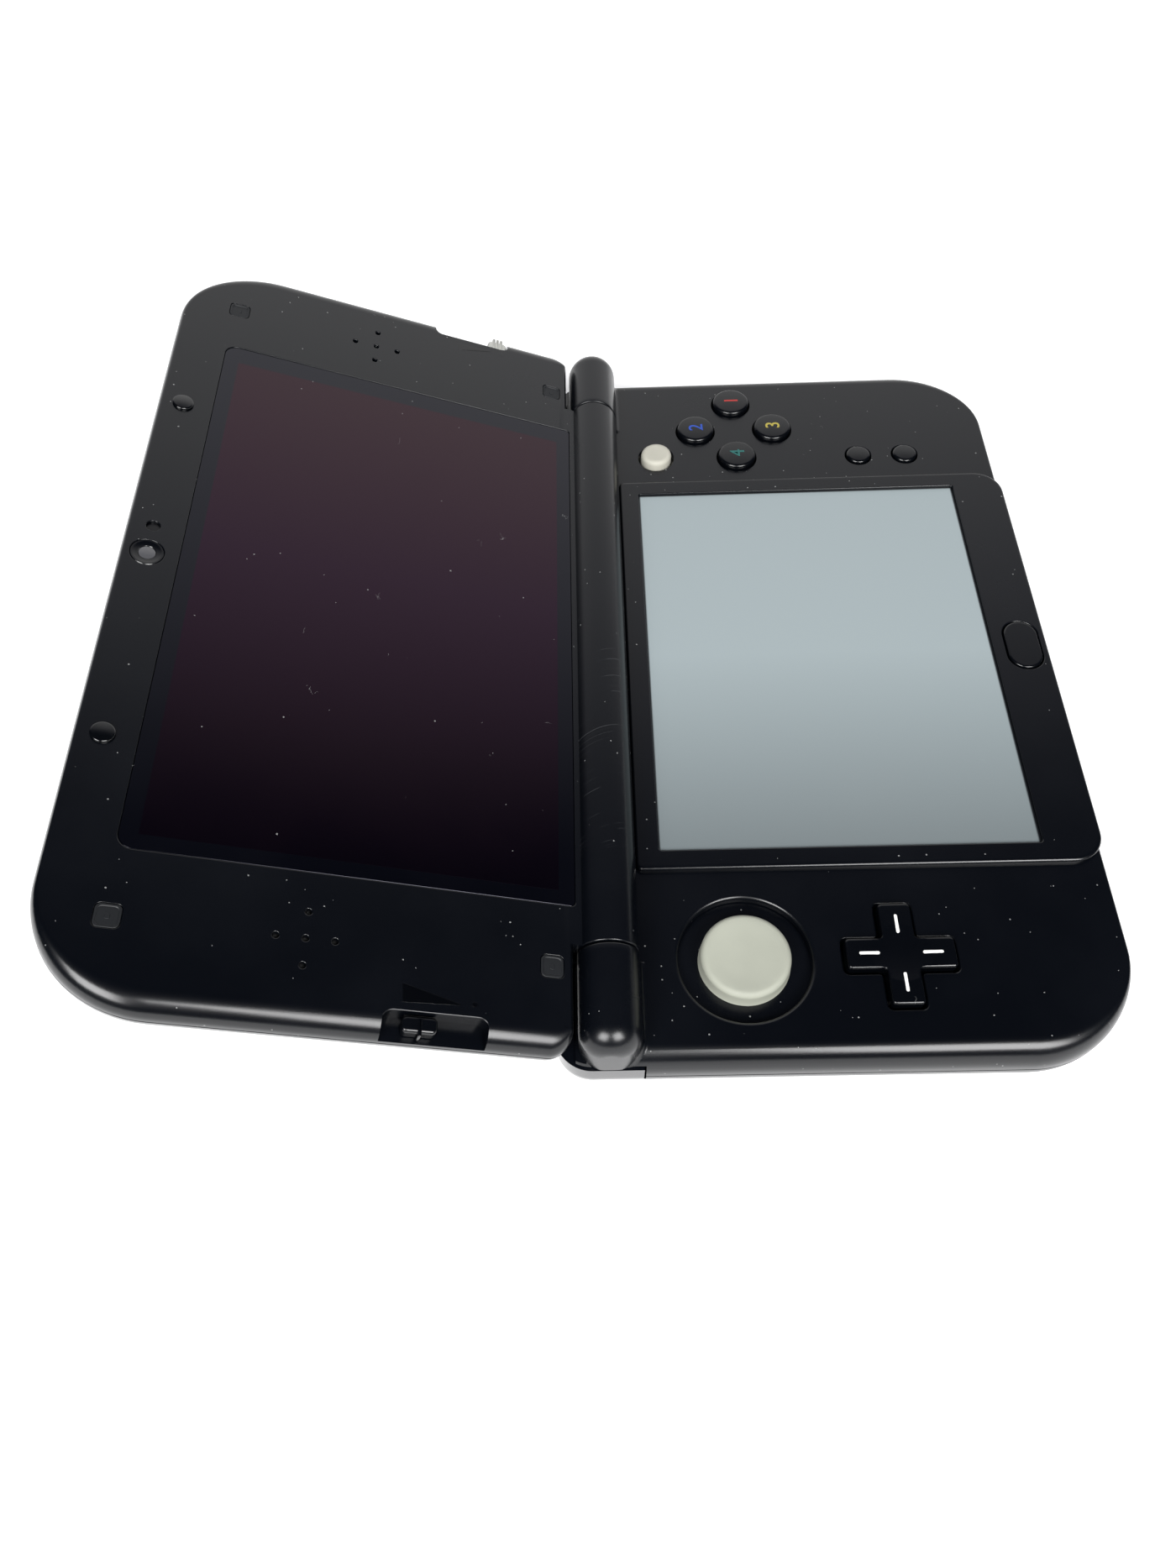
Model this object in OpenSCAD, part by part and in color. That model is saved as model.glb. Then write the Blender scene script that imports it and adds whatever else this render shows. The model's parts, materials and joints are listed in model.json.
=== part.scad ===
// Clamshell handheld game console, lid open. Millimetres, +Z up, +Y towards the lid.
// The origin is on the underside, below the middle of the hinge axis.
// Lid pieces are drawn in the lid's own frame: x across, y away from the hinge, z out of the inner face.

/* [Case] */
// Overall width of base and lid
body_w = 160; // [156:1:166]
// Front edge of the base to the screen window
front_strip = 10.34; // [10:0.02:14]
// Hinge axis to the rear edge of the base
base_rear = 8.8; // [8.6:0.2:10]
// Height of the button face above the table
face_h = 11.3; // [11.1:0.1:12]
// Height of the raised touch panel above the button face
panel_rise = 1.0; // [0.8:0.1:1.3]
// Radius of the front corners, seen from above
front_corner_r = 18; // [14:1:20]
// Radius of the rear corners, seen from above
rear_corner_r = 6; // [5:0.5:7]
// How far the rounded edge reaches in from each side
side_round = 3.6; // [2.8:0.2:4]
// How far the rounded edge reaches in from the front and rear
end_round = 1.1; // [0.8:0.1:1.5]
// Height of the joint between the upper and lower base shells
split_h = 5.6; // [5.2:0.1:6]
// Side wall thickness
side_wall = 2.2; // [2:0.1:2.4]
// Thickness of the base's top face
face_wall = 1.4; // [1.2:0.1:1.5]
// Thickness of the inner floor
floor_t = 0.5; // [0.4:0.1:0.7]

/* [Back cover] */
// Thickness of the cover under the base
cover_t = 1.2; // [1:0.1:1.3]
// Sides of the case to the sides of the cover
cover_side = 10; // [8:0.5:14]
// Front edge of the base to the cover
cover_setback = 6.5; // [5.5:0.5:10]
// Cover's rear edge, from the hinge axis
cover_rear = 3; // [2:0.5:4]
// Corner radius of the cover
cover_r = 8; // [6:1:10]

/* [Hinge] */
// Height of the hinge axis above the table
axis_h = 14.6; // [14.5:0.1:15]
// Angle of the lid above flat when it is fully open
lid_rise = 19; // [17:1:24]
// Outer radius of the hinge barrel
barrel_r = 5; // [4.8:0.1:5.1]
// Sides of the case to the ends of the lid's barrel
barrel_side = 17.6; // [16:0.2:19]
// Bore through the lid's barrel
barrel_bore_r = 3; // [2.8:0.1:3.2]
// Radius of the hinge pins
pin_r = 1.5; // [1.3:0.1:1.6]
// Length of a hinge pin
pin_len = 20; // [16:1:22]
// Rounding of the barrels' outer ends
barrel_end_r = 4; // [3:0.2:4.4]
// Length of the plain hinge bush
bush_len = 8; // [6:1:10]
// Length of the hinge clutch
clutch_len = 14; // [10:1:16]

/* [Lid] */
// Thickness of the lid
lid_t = 8.3; // [8:0.1:8.6]
// Height of the lid's inner face above the hinge axis, lid flat
lid_face = 1.43; // [1.4:0.01:1.6]
// Hinge axis to the lid's near edge
lid_near = 5.8; // [5.6:0.1:6.2]
// Hinge axis to the lid's far edge
lid_far = 84.8; // [84:0.2:88]
// Depth of the lid's inner shell
lid_inner_t = 3.9; // [3.6:0.1:4.2]
// Thickness of the lid's faces
lid_wall = 1.2; // [1:0.1:1.4]
// Corner radius at the lid's hinge side
lid_near_r = 2.5; // [2:0.5:3.5]

/* [Upper screen] */
// Width of the lid's face beside the screen glass
glass_side = 24.35; // [23.5:0.05:25.5]
// Length of the screen glass
glass_l = 69.2; // [68:0.1:70]
// Hinge axis to the near edge of the glass
glass_near = 5.85; // [5.8:0.05:6.4]
// Glass thickness
glass_t = 0.8; // [0.6:0.1:1]
// Sides of the glass to the sides of the upper display module
display_side = 1.65; // [1.2:0.05:2.2]
// Length of the upper display module
display_l = 65; // [64:0.5:66]
// Thickness of the upper display module
display_t = 3; // [2.4:0.1:3.2]

/* [Touch screen] */
// Width of the button face beside the raised panel
panel_side = 33.7; // [33:0.1:34]
// Front edge of the base to the raised panel
panel_setback = 0.2; // [0:0.1:0.5]
// Rear edge of the raised panel, from the hinge axis
panel_rear = 5.1; // [5:0.1:5.6]
// Front corner radius of the raised panel
panel_r = 5.5; // [4:0.5:6]
// Width of the raised panel beside the screen window
window_side = 3.7; // [3:0.1:4.3]
// Length of the screen window
window_l = 65; // [64:0.2:66]
// Rear edge of the screen window, from the hinge axis
window_rear = 9.16; // [9:0.02:9.6]
// Thickness of the panel's lip round the window
window_lip = 0.6; // [0.5:0.1:0.8]
// Width of the lip that the screen's border lies under
window_border = 1.4; // [1.2:0.1:1.5]
// Touch screen thickness
touch_t = 0.7; // [0.6:0.1:0.9]
// Lower display thickness
lower_display_t = 2.2; // [1.8:0.1:2.4]

/* [Buttons] */
// Side of the case to the centre of the four face buttons
diamond_side = 17.8; // [17:0.1:19]
// Centre of the four face buttons, from the hinge axis
diamond_y = 30.6; // [30:0.1:32]
// Distance from that centre to each face button
diamond_pitch = 8.3; // [8.2:0.1:8.6]
// Diameter of a face button
face_button_d = 7.8; // [7:0.1:8]
// Height of the button tops above the button face
button_rise = 1.2; // [1:0.1:1.4]
// How far a button goes down
press = 0.8; // [0.6:0.05:0.85]
// Gap round each button
button_gap = 0.25; // [0.2:0.05:0.3]
// Width of the flange under each button
flange = 0.9; // [0.7:0.1:1]
// Thickness of the flange under each button
flange_t = 0.8; // [0.6:0.1:1]
// Diameter of the two menu buttons
menu_d = 5; // [4.4:0.1:5.4]
// Height of the menu buttons above the button face
menu_rise = 0.6; // [0.4:0.1:0.8]
// Side of the case to the menu buttons
menu_side = 26.6; // [25:0.1:27]
// Place of the first menu button, from the hinge axis
menu_y = 56.4; // [55:0.2:58]
// Distance between the menu buttons
menu_pitch = 9.8; // [9:0.2:11]
// Length of the home button
home_l = 11.3; // [10:0.1:12]
// Width of the home button
home_w = 6.7; // [6:0.1:6.8]
// Front edge of the base to the middle of the home button
home_setback = 4.8; // [4.7:0.1:5]
// Width of the power button
power_w = 9; // [8:0.5:10]
// Height of the power button
power_t = 2.6; // [2.2:0.2:3]
// Side of the case to the middle of the power button
power_side = 34; // [33:1:36]

/* [Direction controls] */
// Width and length of the cross-shaped pad
dpad_w = 17.6; // [17:0.1:18]
// Width of the cross's arms
dpad_arm = 5.3; // [5:0.1:6]
// Height of the cross above the button face
dpad_rise = 1.2; // [1:0.1:1.4]
// Side of the case to the centre of the left-hand controls
left_side = 17.6; // [17.4:0.1:18]
// Centre of the cross, from the hinge axis
dpad_y = 47.1; // [47:0.1:48]
// Gap round the cross
dpad_gap = 0.45; // [0.4:0.05:0.5]
// Centre of the slide pad, from the hinge axis
slide_pad_y = 22.2; // [22:0.1:22.6]
// Diameter of the slide pad's cap
slide_cap_d = 14.7; // [14:0.1:15]
// Diameter of the opening round the slide pad
slide_ring_d = 21.7; // [21.4:0.1:22]
// Height of the slide pad above the button face
slide_cap_rise = 1.6; // [1.4:0.1:1.7]
// How far the slide pad moves each way
slide_travel = 2; // [1.6:0.1:2.1]
// Side of the case to the small stick
stick_side = 25.7; // [25:0.1:26]
// Place of the small stick, from the hinge axis
stick_y = 13.4; // [13.2:0.1:14]
// Diameter of the small stick
stick_d = 6.4; // [6:0.1:6.6]
// Height of the small stick above the button face
stick_rise = 1.5; // [1.3:0.1:1.6]
// Gap round the small stick
stick_gap = 0.5; // [0.4:0.05:0.6]

/* [Shoulder buttons] */
// Length of the shoulder buttons along the rear edge
shoulder_len = 26; // [24:0.5:27]
// Front end of the shoulder buttons, from the hinge axis
shoulder_front = 5.3; // [5:0.1:5.6]
// Thickness of the shoulder buttons
shoulder_t = 3; // [2.8:0.1:3.2]
// Underside of the shoulder buttons
shoulder_low = 2.6; // [2.4:0.1:3]
// Top of the shoulder buttons
shoulder_high = 8.8; // [8.6:0.1:8.9]
// Gap round the shoulder buttons
shoulder_gap = 0.3; // [0.25:0.05:0.35]
// How far the shoulder buttons go in at their inner end
shoulder_press = 0.9; // [0.6:0.1:1]
// Radius of the shoulder buttons' pivot pins
pivot_r = 0.6; // [0.5:0.05:0.7]
// Inner end of a shoulder button to the middle of its trigger
trigger_in = 8.5; // [8:0.5:10]
// Width of the inner triggers
trigger_w = 12; // [10:0.5:13]
// Height of the inner triggers
trigger_t = 3.6; // [3.2:0.2:4]

/* [Inside the base] */
// Underside of the main circuit board
board_h = 6.6; // [6.5:0.1:6.7]
// Thickness of the main circuit board
board_t = 0.8; // [0.7:0.1:0.9]
// Width of the battery
battery_w = 60; // [56:1:62]
// Length of the battery
battery_l = 36; // [32:1:38]
// Left edge of the battery
battery_x = -44; // [-46:1:-40]
// Front edge of the battery, from the hinge axis
battery_y = 44; // [42:1:46]
// Inner width of the card slot
card_w = 34.6; // [33:0.2:35]
// Inner length of the card slot
card_l = 32; // [30:1:33]
// Inner height of the card slot
card_h = 4.3; // [4.2:0.1:4.35]
// Sheet thickness of the card slot
cage_t = 0.25; // [0.2:0.05:0.3]
// Middle of the card slot, across
card_x = -27; // [-30:0.5:-25]
// Radius of the stylus
stylus_r = 2.1; // [1.8:0.1:2.2]
// Length of the stylus
stylus_len = 76; // [70:1:77]
// Place of the stylus, across
stylus_x = 30; // [26:1:33]
// Height of the stylus
stylus_h = 4.3; // [4.2:0.05:4.4]
// Radius of the headphone socket
jack_r = 1.8; // [1.7:0.05:1.9]
// Depth of the headphone socket
jack_depth = 12; // [10:0.5:13]
// Height of the headphone socket
jack_h = 4.7; // [4.6:0.1:4.8]
// Middle of the charging port, across
port_x = -18; // [-22:1:-14]
// Middle of the infrared window, across
window_ir_x = 14; // [10:1:18]

/* [Lid fittings] */
// Sides of the lid to the speakers and corner screws
speaker_side = 13.5; // [12:0.1:15]
// Place of the speakers along the lid
speaker_y = 47.1; // [44:0.1:50]
// Distance between the speaker holes
speaker_pitch = 4.25; // [3.6:0.05:4.4]
// Radius of a speaker hole
speaker_hole_r = 0.5; // [0.4:0.05:0.6]
// Radius of a speaker
speaker_r = 5.6; // [5.2:0.1:6]
// Width of the square screw covers
plug_w = 3.8; // [3.4:0.1:4]
// Far screw covers, along the lid
plug_far = 74.1; // [73:0.1:75]
// Near screw covers, along the lid
plug_near = 9.7; // [9.6:0.1:10]
// Place of the bumpers, across
bumper_x = 36.9; // [34:0.1:40]
// Place of the bumpers and the inner camera, along the lid
bumper_y = 80.2; // [80:0.1:80.6]
// Radius of the bumpers
bumper_r = 1.85; // [1.6:0.05:2]
// Height of the bumpers above the lid's inner face
bumper_rise = 0.6; // [0.4:0.1:0.65]
// Radius of the inner camera's ring
camera_r = 2.7; // [2.4:0.1:2.8]
// Radius of the small sensor beside the camera
sensor_r = 1.1; // [0.9:0.1:1.2]
// Distance from the camera to the sensor
sensor_x = 6; // [5.5:0.1:7]
// Half the distance between the outer cameras
outer_camera_x = 17.5; // [15:0.5:20]
// Place of the outer cameras along the lid
outer_camera_y = 74; // [70:1:76]
// Radius of an outer camera
outer_camera_r = 3.3; // [3:0.1:3.6]
// Near end of the slider slots, along the lid
slot_near = 19.4; // [19:0.1:21]
// Far end of the slider slots, along the lid
slot_far = 35.2; // [34:0.1:37]
// How far the slider slots reach in from the sides
slot_in = 3.9; // [3.6:0.1:4.2]
// Height of the slider slots
slot_t = 3; // [2.8:0.1:3.2]
// Length of the volume knob
volume_l = 5.3; // [4.6:0.1:6]
// Near end of the volume knob
volume_at = 26.9; // [25:0.1:27]
// Length of the depth knob
depth_l = 4; // [3.6:0.1:5]

/* [Hidden] */

black = "#1a1c20";
dark = "#2a2c30";
grey = "#a4a898";
pale = "#bdbcac";
steel = "silver";
board_green = "#1f5a3c";

fit = 0.05;            // seated pieces that don't move
gap = 0.3;             // pieces that move past each other
run = 0.05;            // pin in its bush, on the radius
cut = 1;               // how far a cutter passes its surface
round_steps = 5;       // steps in a rounded edge
corner_steps = 8;      // steps in a rounded corner
screw_r = 0.8;
screw_head_r = 1.9;
screw_head_t = 0.8;
screw_side = 14;       // sides of the case to the front case screws
screw_front = 18.5;    // front edge to the front case screws
screw_rear_y = 1;      // rear case screws, behind the hinge axis
screw_rear_l = 11.5;   // left trigger to the left rear screw
screw_rear_r = 15.5;   // right trigger to the right rear screw
cover_screw_in = 7.7;  // card slot to the cover screws
cover_screw_y = 4.5;   // front edge of the cover to its screws
pipe_w = 2.6;          // opening of an indicator light
pipe_t = 1.2;
pipe_in = 10;          // power button to the first indicator light
pipe_pitch = 4.4;
pad_housing_w = 24;    // housing of the slide pad
pad_housing_r = 7;     // room in its middle
carriage_w = 18;       // plate under the slide pad
carriage_l = 22;
memory_w = 14;         // memory card slot
memory_t = 1.6;
memory_side = 18;      // side of the case to the memory card slot
memory_y = 52;
memory_sheet = 0.4;

base_front = window_rear + window_l + front_strip;
cover_front = base_front - cover_setback;
panel_front = base_front - panel_setback;
home_y = base_front - home_setback;
panel_w = body_w - 2 * panel_side;
window_w = panel_w - 2 * window_side;
cover_w = body_w - 2 * cover_side;
barrel_half = body_w / 2 - barrel_side;
glass_w = body_w - 2 * glass_side;
display_w = glass_w - 2 * display_side;
diamond_x = body_w / 2 - diamond_side;
menu_x = body_w / 2 - menu_side;
power_x = body_w / 2 - power_side;
left_x = body_w / 2 - left_side;
stick_x = body_w / 2 - stick_side;
shoulder_x = body_w / 2 - shoulder_len;
trigger_x = shoulder_x - trigger_in;
speaker_x = body_w / 2 - speaker_side;
slot_x = body_w / 2 - slot_in;
panel_h = face_h + panel_rise;
lower_round = split_h - 0.2;
upper_round = face_h - split_h - 1;
ceiling = face_h - face_wall;
floor_h = cover_t + floor_t;
trough_r = barrel_r + 0.5;
rear_wall_in = 5.5;                      // rear cavity stays this far inside the rear edge
lip_h = axis_h - barrel_r;               // top of the base behind the barrel
rear_lip = base_rear - shoulder_t - shoulder_gap;
cavity_rear = -(panel_rear + 1.8);       // rear end of the deep cavity
cavity_r = 3.5;
rear_cavity_h = lip_h - 2.1;
membrane_h = board_h + board_t;
membrane_t = ceiling - gap - flange_t - press - gap - membrane_h;
boss_r = screw_r + 1.2;
head_boss_r = screw_head_r + 0.8;
nose_r = jack_r + 1.1;
glass_floor = lid_face - 0.1 - glass_t;
screen_top = panel_h - window_lip;
screen_w = window_w + 2 * window_border;
screen_l = window_l + 2 * window_border;
screen_y = -(window_rear + window_l / 2);
skirt_r = slide_ring_d / 2 + slide_travel;
skirt_top = ceiling - gap;
skirt_t = 0.8;
carriage_t = 0.5;
pivot_x = body_w / 2 - shoulder_t + 0.95;
pivot_y = base_rear - 7.3;
plug_depth = 0.7;
dpad_flange_top = ceiling - 0.8;
dpad_flange_t = 0.6;
dpad_flange_r = 7.6;
stick_foot = membrane_h + 1;
shoulder_swing = 0.3;                    // room at the inner end for the shoulder button's turn
front_wall_in = -base_front + side_wall + end_round;
lid_split = lid_face - lid_inner_t;
lid_back = lid_face - lid_t;
web_y = lid_near + 2.2;                  // hinge side of the lid's cavity
diamond = [[1, 0], [0, 1], [0, -1], [-1, 0]];
cage_h = board_h - card_h - cage_t;
cage_rear = -base_front + card_l + 2;

// Points of an elliptical arc
function arc(centre, rx, ry, from) =
    [for (i = [0 : corner_steps]) let (a = from + 90 * i / corner_steps)
        centre + [rx * cos(a), ry * sin(a)]];

// Rounded outline drawn in by ix at the sides and iy at the ends
function outline(w, y0, y1, r0, r1, ix, iy) = concat(
    arc([w / 2 - r1, y1 - r1], r1 - ix, r1 - iy, 0),
    arc([-w / 2 + r1, y1 - r1], r1 - ix, r1 - iy, 90),
    arc([-w / 2 + r0, y0 + r0], r0 - ix, r0 - iy, 180),
    arc([w / 2 - r0, y0 + r0], r0 - ix, r0 - iy, 270));

// The outlines of one rounded edge, from its flat (0) to its side (1), each at its height
function edge_steps(from, rise) =
    [for (k = [0 : round_steps]) let (t = 90 * k / round_steps)
        [1 - sin(t), from + rise * (1 - cos(t))]];

function reversed(list) = [for (i = [len(list) - 1 : -1 : 0]) list[i]];

// Skin over a stack of outlines, lowest first
module loft(rings) {
    n = len(rings[0]);
    top = (len(rings) - 1) * n;
    sides = [for (k = [0 : len(rings) - 2], i = [0 : n - 1])
        let (a = k * n + i, b = k * n + (i + 1) % n)
            each [[a, a + n, b + n], [a, b + n, b]]];
    polyhedron([for (ring = rings) each ring],
        concat([[for (i = [0 : n - 1]) i]], [[for (i = [n - 1 : -1 : 0]) top + i]], sides));
}

// The room inside a base shell between two heights
module deep_cavity(z0, z1, rear_z1) {
    rounded_block(body_w, -base_front, cavity_rear + side_wall + end_round, front_corner_r, cavity_r,
        z0, z1, side_wall, side_wall + end_round);
    block([-body_w / 2 + rear_wall_in, cavity_rear - cut, z0],
        [body_w / 2 - rear_wall_in, base_rear - rear_wall_in, rear_z1]);
}

module case_half(steps, y0, y1, r0, r1) {
    loft([for (s = steps)
        [for (p = outline(body_w, y0, y1, r0, r1, side_round * s[0], end_round * s[0]))
            [p[0], p[1], s[1]]]]);
}

module rounded_block(w, y0, y1, r0, r1, z0, z1, ix = 0, iy = 0) {
    translate([0, 0, z0]) linear_extrude(z1 - z0)
        polygon(outline(w, y0, y1, r0, r1, ix, iy));
}

// A box from one corner to the other
module block(low, high) {
    translate(low) cube(high - low);
}

module both_sides() {
    children();
    mirror([1, 0, 0]) children();
}

// Sharp inside, rounded outside by a plain radius
module soft_rect(w, l, r, h) {
    linear_extrude(h) union() {
        square([w - 2 * r, l], center = true);
        square([w, l - 2 * r], center = true);
        for (x = [-1, 1], y = [-1, 1])
            translate([x * (w / 2 - r), y * (l / 2 - r)]) circle(r, $fn = 48);
    }
}

module stadium(l, w, h) {
    linear_extrude(h) union() {
        square([l - w, w], center = true);
        for (x = [-1, 1]) translate([x * (l - w) / 2, 0]) circle(w / 2, $fn = 48);
    }
}

module rod(r, h) {
    cylinder(r = r, h = h, $fn = 64);
}

// A rod along X from x0 to x1 at the hinge axis
module axis_rod(r, x0, x1) {
    translate([x0, 0, axis_h]) rotate([0, 90, 0]) rod(r, x1 - x0);
}

module on_lid() {
    translate([0, 0, axis_h]) rotate([lid_rise, 0, 0]) children();
}

module at_diamond(i) {
    translate([diamond_x + diamond_pitch * diamond[i][0],
        -diamond_y + diamond_pitch * diamond[i][1], 0]) children();
}

module cross(w, arm, h) {
    linear_extrude(h) union() {
        square([w, arm], center = true);
        square([arm, w], center = true);
    }
}

// A round button with its flange under the shell
module round_button(d, top, ceiling_h) {
    flange_h = ceiling_h - gap - flange_t;
    translate([0, 0, flange_h]) rod(d / 2 + flange, flange_t);
    translate([0, 0, flange_h]) rotate_extrude($fn = 64) union() {
        square([d / 2 - 0.5, top - flange_h]);
        square([d / 2, top - flange_h - 0.5]);
        translate([d / 2 - 0.5, top - flange_h - 0.5]) circle(0.5, $fn = 32);
    }
}

// Every opening in the button face and the raised panel
module face_openings() {
    for (i = [0 : 3]) at_diamond(i) rod(face_button_d / 2 + button_gap, panel_h);
    for (i = [0 : 1]) translate([menu_x, -menu_y - i * menu_pitch, 0])
        rod(menu_d / 2 + button_gap, panel_h);
    translate([stick_x, -stick_y, 0]) rod(stick_d / 2 + stick_gap, panel_h);
    translate([-left_x, -slide_pad_y, 0]) rod(slide_ring_d / 2, panel_h);
    translate([-left_x, -dpad_y, 0]) cross(dpad_w + 2 * dpad_gap, dpad_arm + 2 * dpad_gap, panel_h);
    translate([0, -home_y, 0])
        stadium(home_l + 2 * button_gap, home_w + 2 * button_gap, panel_h + cut);
    translate([0, screen_y, screen_top - cut])
        translate([-window_w / 2, -window_l / 2, 0]) cube([window_w, window_l, cut + window_lip + cut]);
}

// The openings in the front and rear walls, which cross the joint between the shells
module wall_openings() {
    translate([card_x - card_w / 2, -base_front - cut, board_h - card_h])
        cube([card_w, cut + front_wall_in + base_front + cut, card_h]);
    translate([0, -base_front - cut, jack_h]) rotate([-90, 0, 0]) rod(jack_r + 1.2, cut + 6);
    translate([stylus_x, -base_front - cut, stylus_h]) rotate([-90, 0, 0]) rod(stylus_r + gap, cut + 6);
    translate([power_x, front_wall_in + cut, split_h]) rotate([90, 0, 0])
        stadium(power_w + 2 * button_gap, power_t + 2 * button_gap, side_wall + end_round + 2 * cut);
    for (i = [0 : 1]) translate([power_x + pipe_in + pipe_pitch * i, front_wall_in + cut, split_h])
        rotate([90, 0, 0]) stadium(pipe_w, pipe_t, side_wall + end_round + 2 * cut);
    translate([port_x - 4.8, -1, 2.7]) cube([9.6, base_rear + 2, 3.4]);
    translate([window_ir_x - 6, base_rear - 1.4, 3]) cube([12, 3, 3.8]);
    both_sides() translate([trigger_x - trigger_w / 2 - gap, -1, split_h - trigger_t / 2 - gap])
        cube([trigger_w + 2 * gap, base_rear + 3, trigger_t + 2 * gap]);
    both_sides() shoulder_pocket();
}

module shoulder_region(grow, swing = 0) {
    block([shoulder_x - grow - swing, -shoulder_front - grow, shoulder_low - grow],
        [body_w, base_rear + cut, shoulder_high + grow]);
}

// Room for a shoulder button and its travel
module shoulder_pocket() {
    clear = shoulder_t + shoulder_press + shoulder_gap;
    difference() {
        shoulder_region(shoulder_gap, shoulder_swing);
        rounded_block(body_w, -base_front, base_rear, front_corner_r, rear_corner_r,
            0, axis_h, clear, clear);
    }
}

// Rounds off the top of the rear edge
module rear_edge_cut() {
    r = shoulder_t + shoulder_gap;
    top = lip_h;
    difference() {
        block([-body_w, base_rear - r, top - r], [body_w, base_rear + cut, axis_h]);
        translate([-body_w, base_rear - r, top - r]) rotate([0, 90, 0]) rod(r, 2 * body_w);
    }
}

module end_barrel() {
    len = body_w / 2 - barrel_half - gap;
    translate([barrel_half + gap, 0, axis_h]) rotate([0, 90, 0]) rotate_extrude($fn = 96) union() {
        square([barrel_r - barrel_end_r, len]);
        square([barrel_r, len - barrel_end_r]);
        translate([barrel_r - barrel_end_r, len - barrel_end_r]) intersection() {
            circle(barrel_end_r, $fn = 64);
            square(barrel_end_r);
        }
    }
}

module base_upper_shell() {
    color(black) difference() {
        union() {
            difference() {
                union() {
                    case_half(concat([[0, split_h]], reversed([for (s = edge_steps(0, 1))
                        [s[0], face_h - upper_round * s[1]]])),
                        -base_front, base_rear, front_corner_r, rear_corner_r);
                    rounded_block(panel_w, -panel_front, -panel_rear, panel_r, 0.5,
                        split_h + 2, panel_h);
                }
                block([-body_w, barrel_r - 1.2, lip_h], [body_w, base_rear + cut, axis_h]);
                block([-barrel_half - gap, -barrel_r + 1, lip_h], [barrel_half + gap, barrel_r, axis_h]);
                rear_edge_cut();
                both_sides() block([shoulder_x - shoulder_gap - shoulder_swing, rear_lip, shoulder_high],
                    [body_w, base_rear + cut, axis_h]);
            }
            both_sides() end_barrel();
        }
        difference() {
            deep_cavity(split_h - cut, ceiling, rear_cavity_h);
            at_screws() rod(boss_r, face_h);
        }
        translate([-screen_w / 2 - fit, screen_y - screen_l / 2 - fit, ceiling - cut])
            cube([screen_w + 2 * fit, screen_l + 2 * fit, screen_top - ceiling + cut]);
        translate([0, -home_y, ceiling - cut])
            stadium(home_l + 2 * flange + 2 * gap, home_w, panel_h - face_wall - ceiling + cut);
        axis_rod(trough_r, -barrel_half - gap, barrel_half + gap);
        both_sides() axis_rod(pin_r, barrel_half, barrel_half - bush_len + pin_len);
        both_sides() translate([pivot_x, pivot_y, 0]) rod(pivot_r, lip_h + 0.2);
        face_openings();
        wall_openings();
        screw_shanks();
    }
}

module base_lower_shell() {
    color(black) difference() {
        case_half(concat(edge_steps(0, lower_round), [[0, split_h]]),
            -base_front, base_rear, front_corner_r, rear_corner_r);
        rounded_block(cover_w + 2 * fit, -cover_front - fit, cover_rear + fit, cover_r, cover_r,
            -cut, cover_t);
        difference() {
            deep_cavity(floor_h, split_h + cut, split_h + cut);
            at_screws() translate([0, 0, cover_t]) rod(head_boss_r, split_h);
            at_cover_screws() translate([0, 0, cover_t]) rod(boss_r, cover_t + 2.2);
        }
        block([battery_x - gap, -battery_y - gap, 0],
            [battery_x + battery_w + gap, -battery_y + battery_l + gap, split_h]);
        both_sides() translate([pivot_x, pivot_y, floor_h]) rod(pivot_r, split_h);
        wall_openings();
        screw_shanks();
        at_screws() rod(screw_head_r + fit, cover_t + screw_head_t);
        at_cover_screws() rod(screw_r, cover_t + 2.4);
    }
}

module at_screws() {
    both_sides() translate([body_w / 2 - screw_side, -base_front + screw_front, 0]) children();
    for (x = [-trigger_x + screw_rear_l, trigger_x - screw_rear_r]) translate([x, screw_rear_y, 0]) children();
}

module at_cover_screws() {
    both_sides() translate([card_w / 2 - card_x + cover_screw_in, -cover_front + cover_screw_y, 0]) children();
}

module screw_shanks() {
    at_screws() rod(screw_r, split_h + 1.4);
}

module back_cover() {
    color(dark) difference() {
        rounded_block(cover_w, -cover_front, cover_rear, cover_r, cover_r, 0, cover_t);
        at_cover_screws() translate([0, 0, -cut]) rod(screw_r + 0.2, cover_t + 2 * cut);
        at_cover_screws() translate([0, 0, -cut]) rod(screw_head_r + fit, cut + screw_head_t);
    }
}

// A cross-headed screw standing on its head
module screw(len) {
    difference() {
        union() {
            rod(screw_head_r, screw_head_t - fit);
            rod(screw_r, len);
        }
        translate([0, 0, -cut]) linear_extrude(cut + 0.4) union() {
            square([2.2, 0.5], center = true);
            square([0.5, 2.2], center = true);
        }
    }
}

module cover_screws() {
    color(steel) at_cover_screws() translate([0, 0, fit]) screw(cover_t + 2);
}

module base_screws() {
    color(steel) at_screws() translate([0, 0, cover_t + fit]) screw(split_h - cover_t + 1);
}

module mainboard() {
    rear = cavity_rear - gap;
    front = front_wall_in + gap + flange_t + press + gap;
    half = body_w / 2 - side_wall - gap;
    corner = base_front - front_corner_r;
    color(board_green) difference() {
        translate([0, 0, board_h]) linear_extrude(board_t) polygon([
            [-half, rear], [-half, -corner], [-half + 10, front], [half - 10, front], [half, -corner],
            [half, rear]]);
        at_screws() rod(boss_r + gap, board_h + 2 * board_t);
        block([-nose_r - gap, front - cut, board_h - cut],
            [nose_r + gap, -base_front + end_round / 2 + jack_depth + gap, membrane_h + cut]);
    }
}

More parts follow.
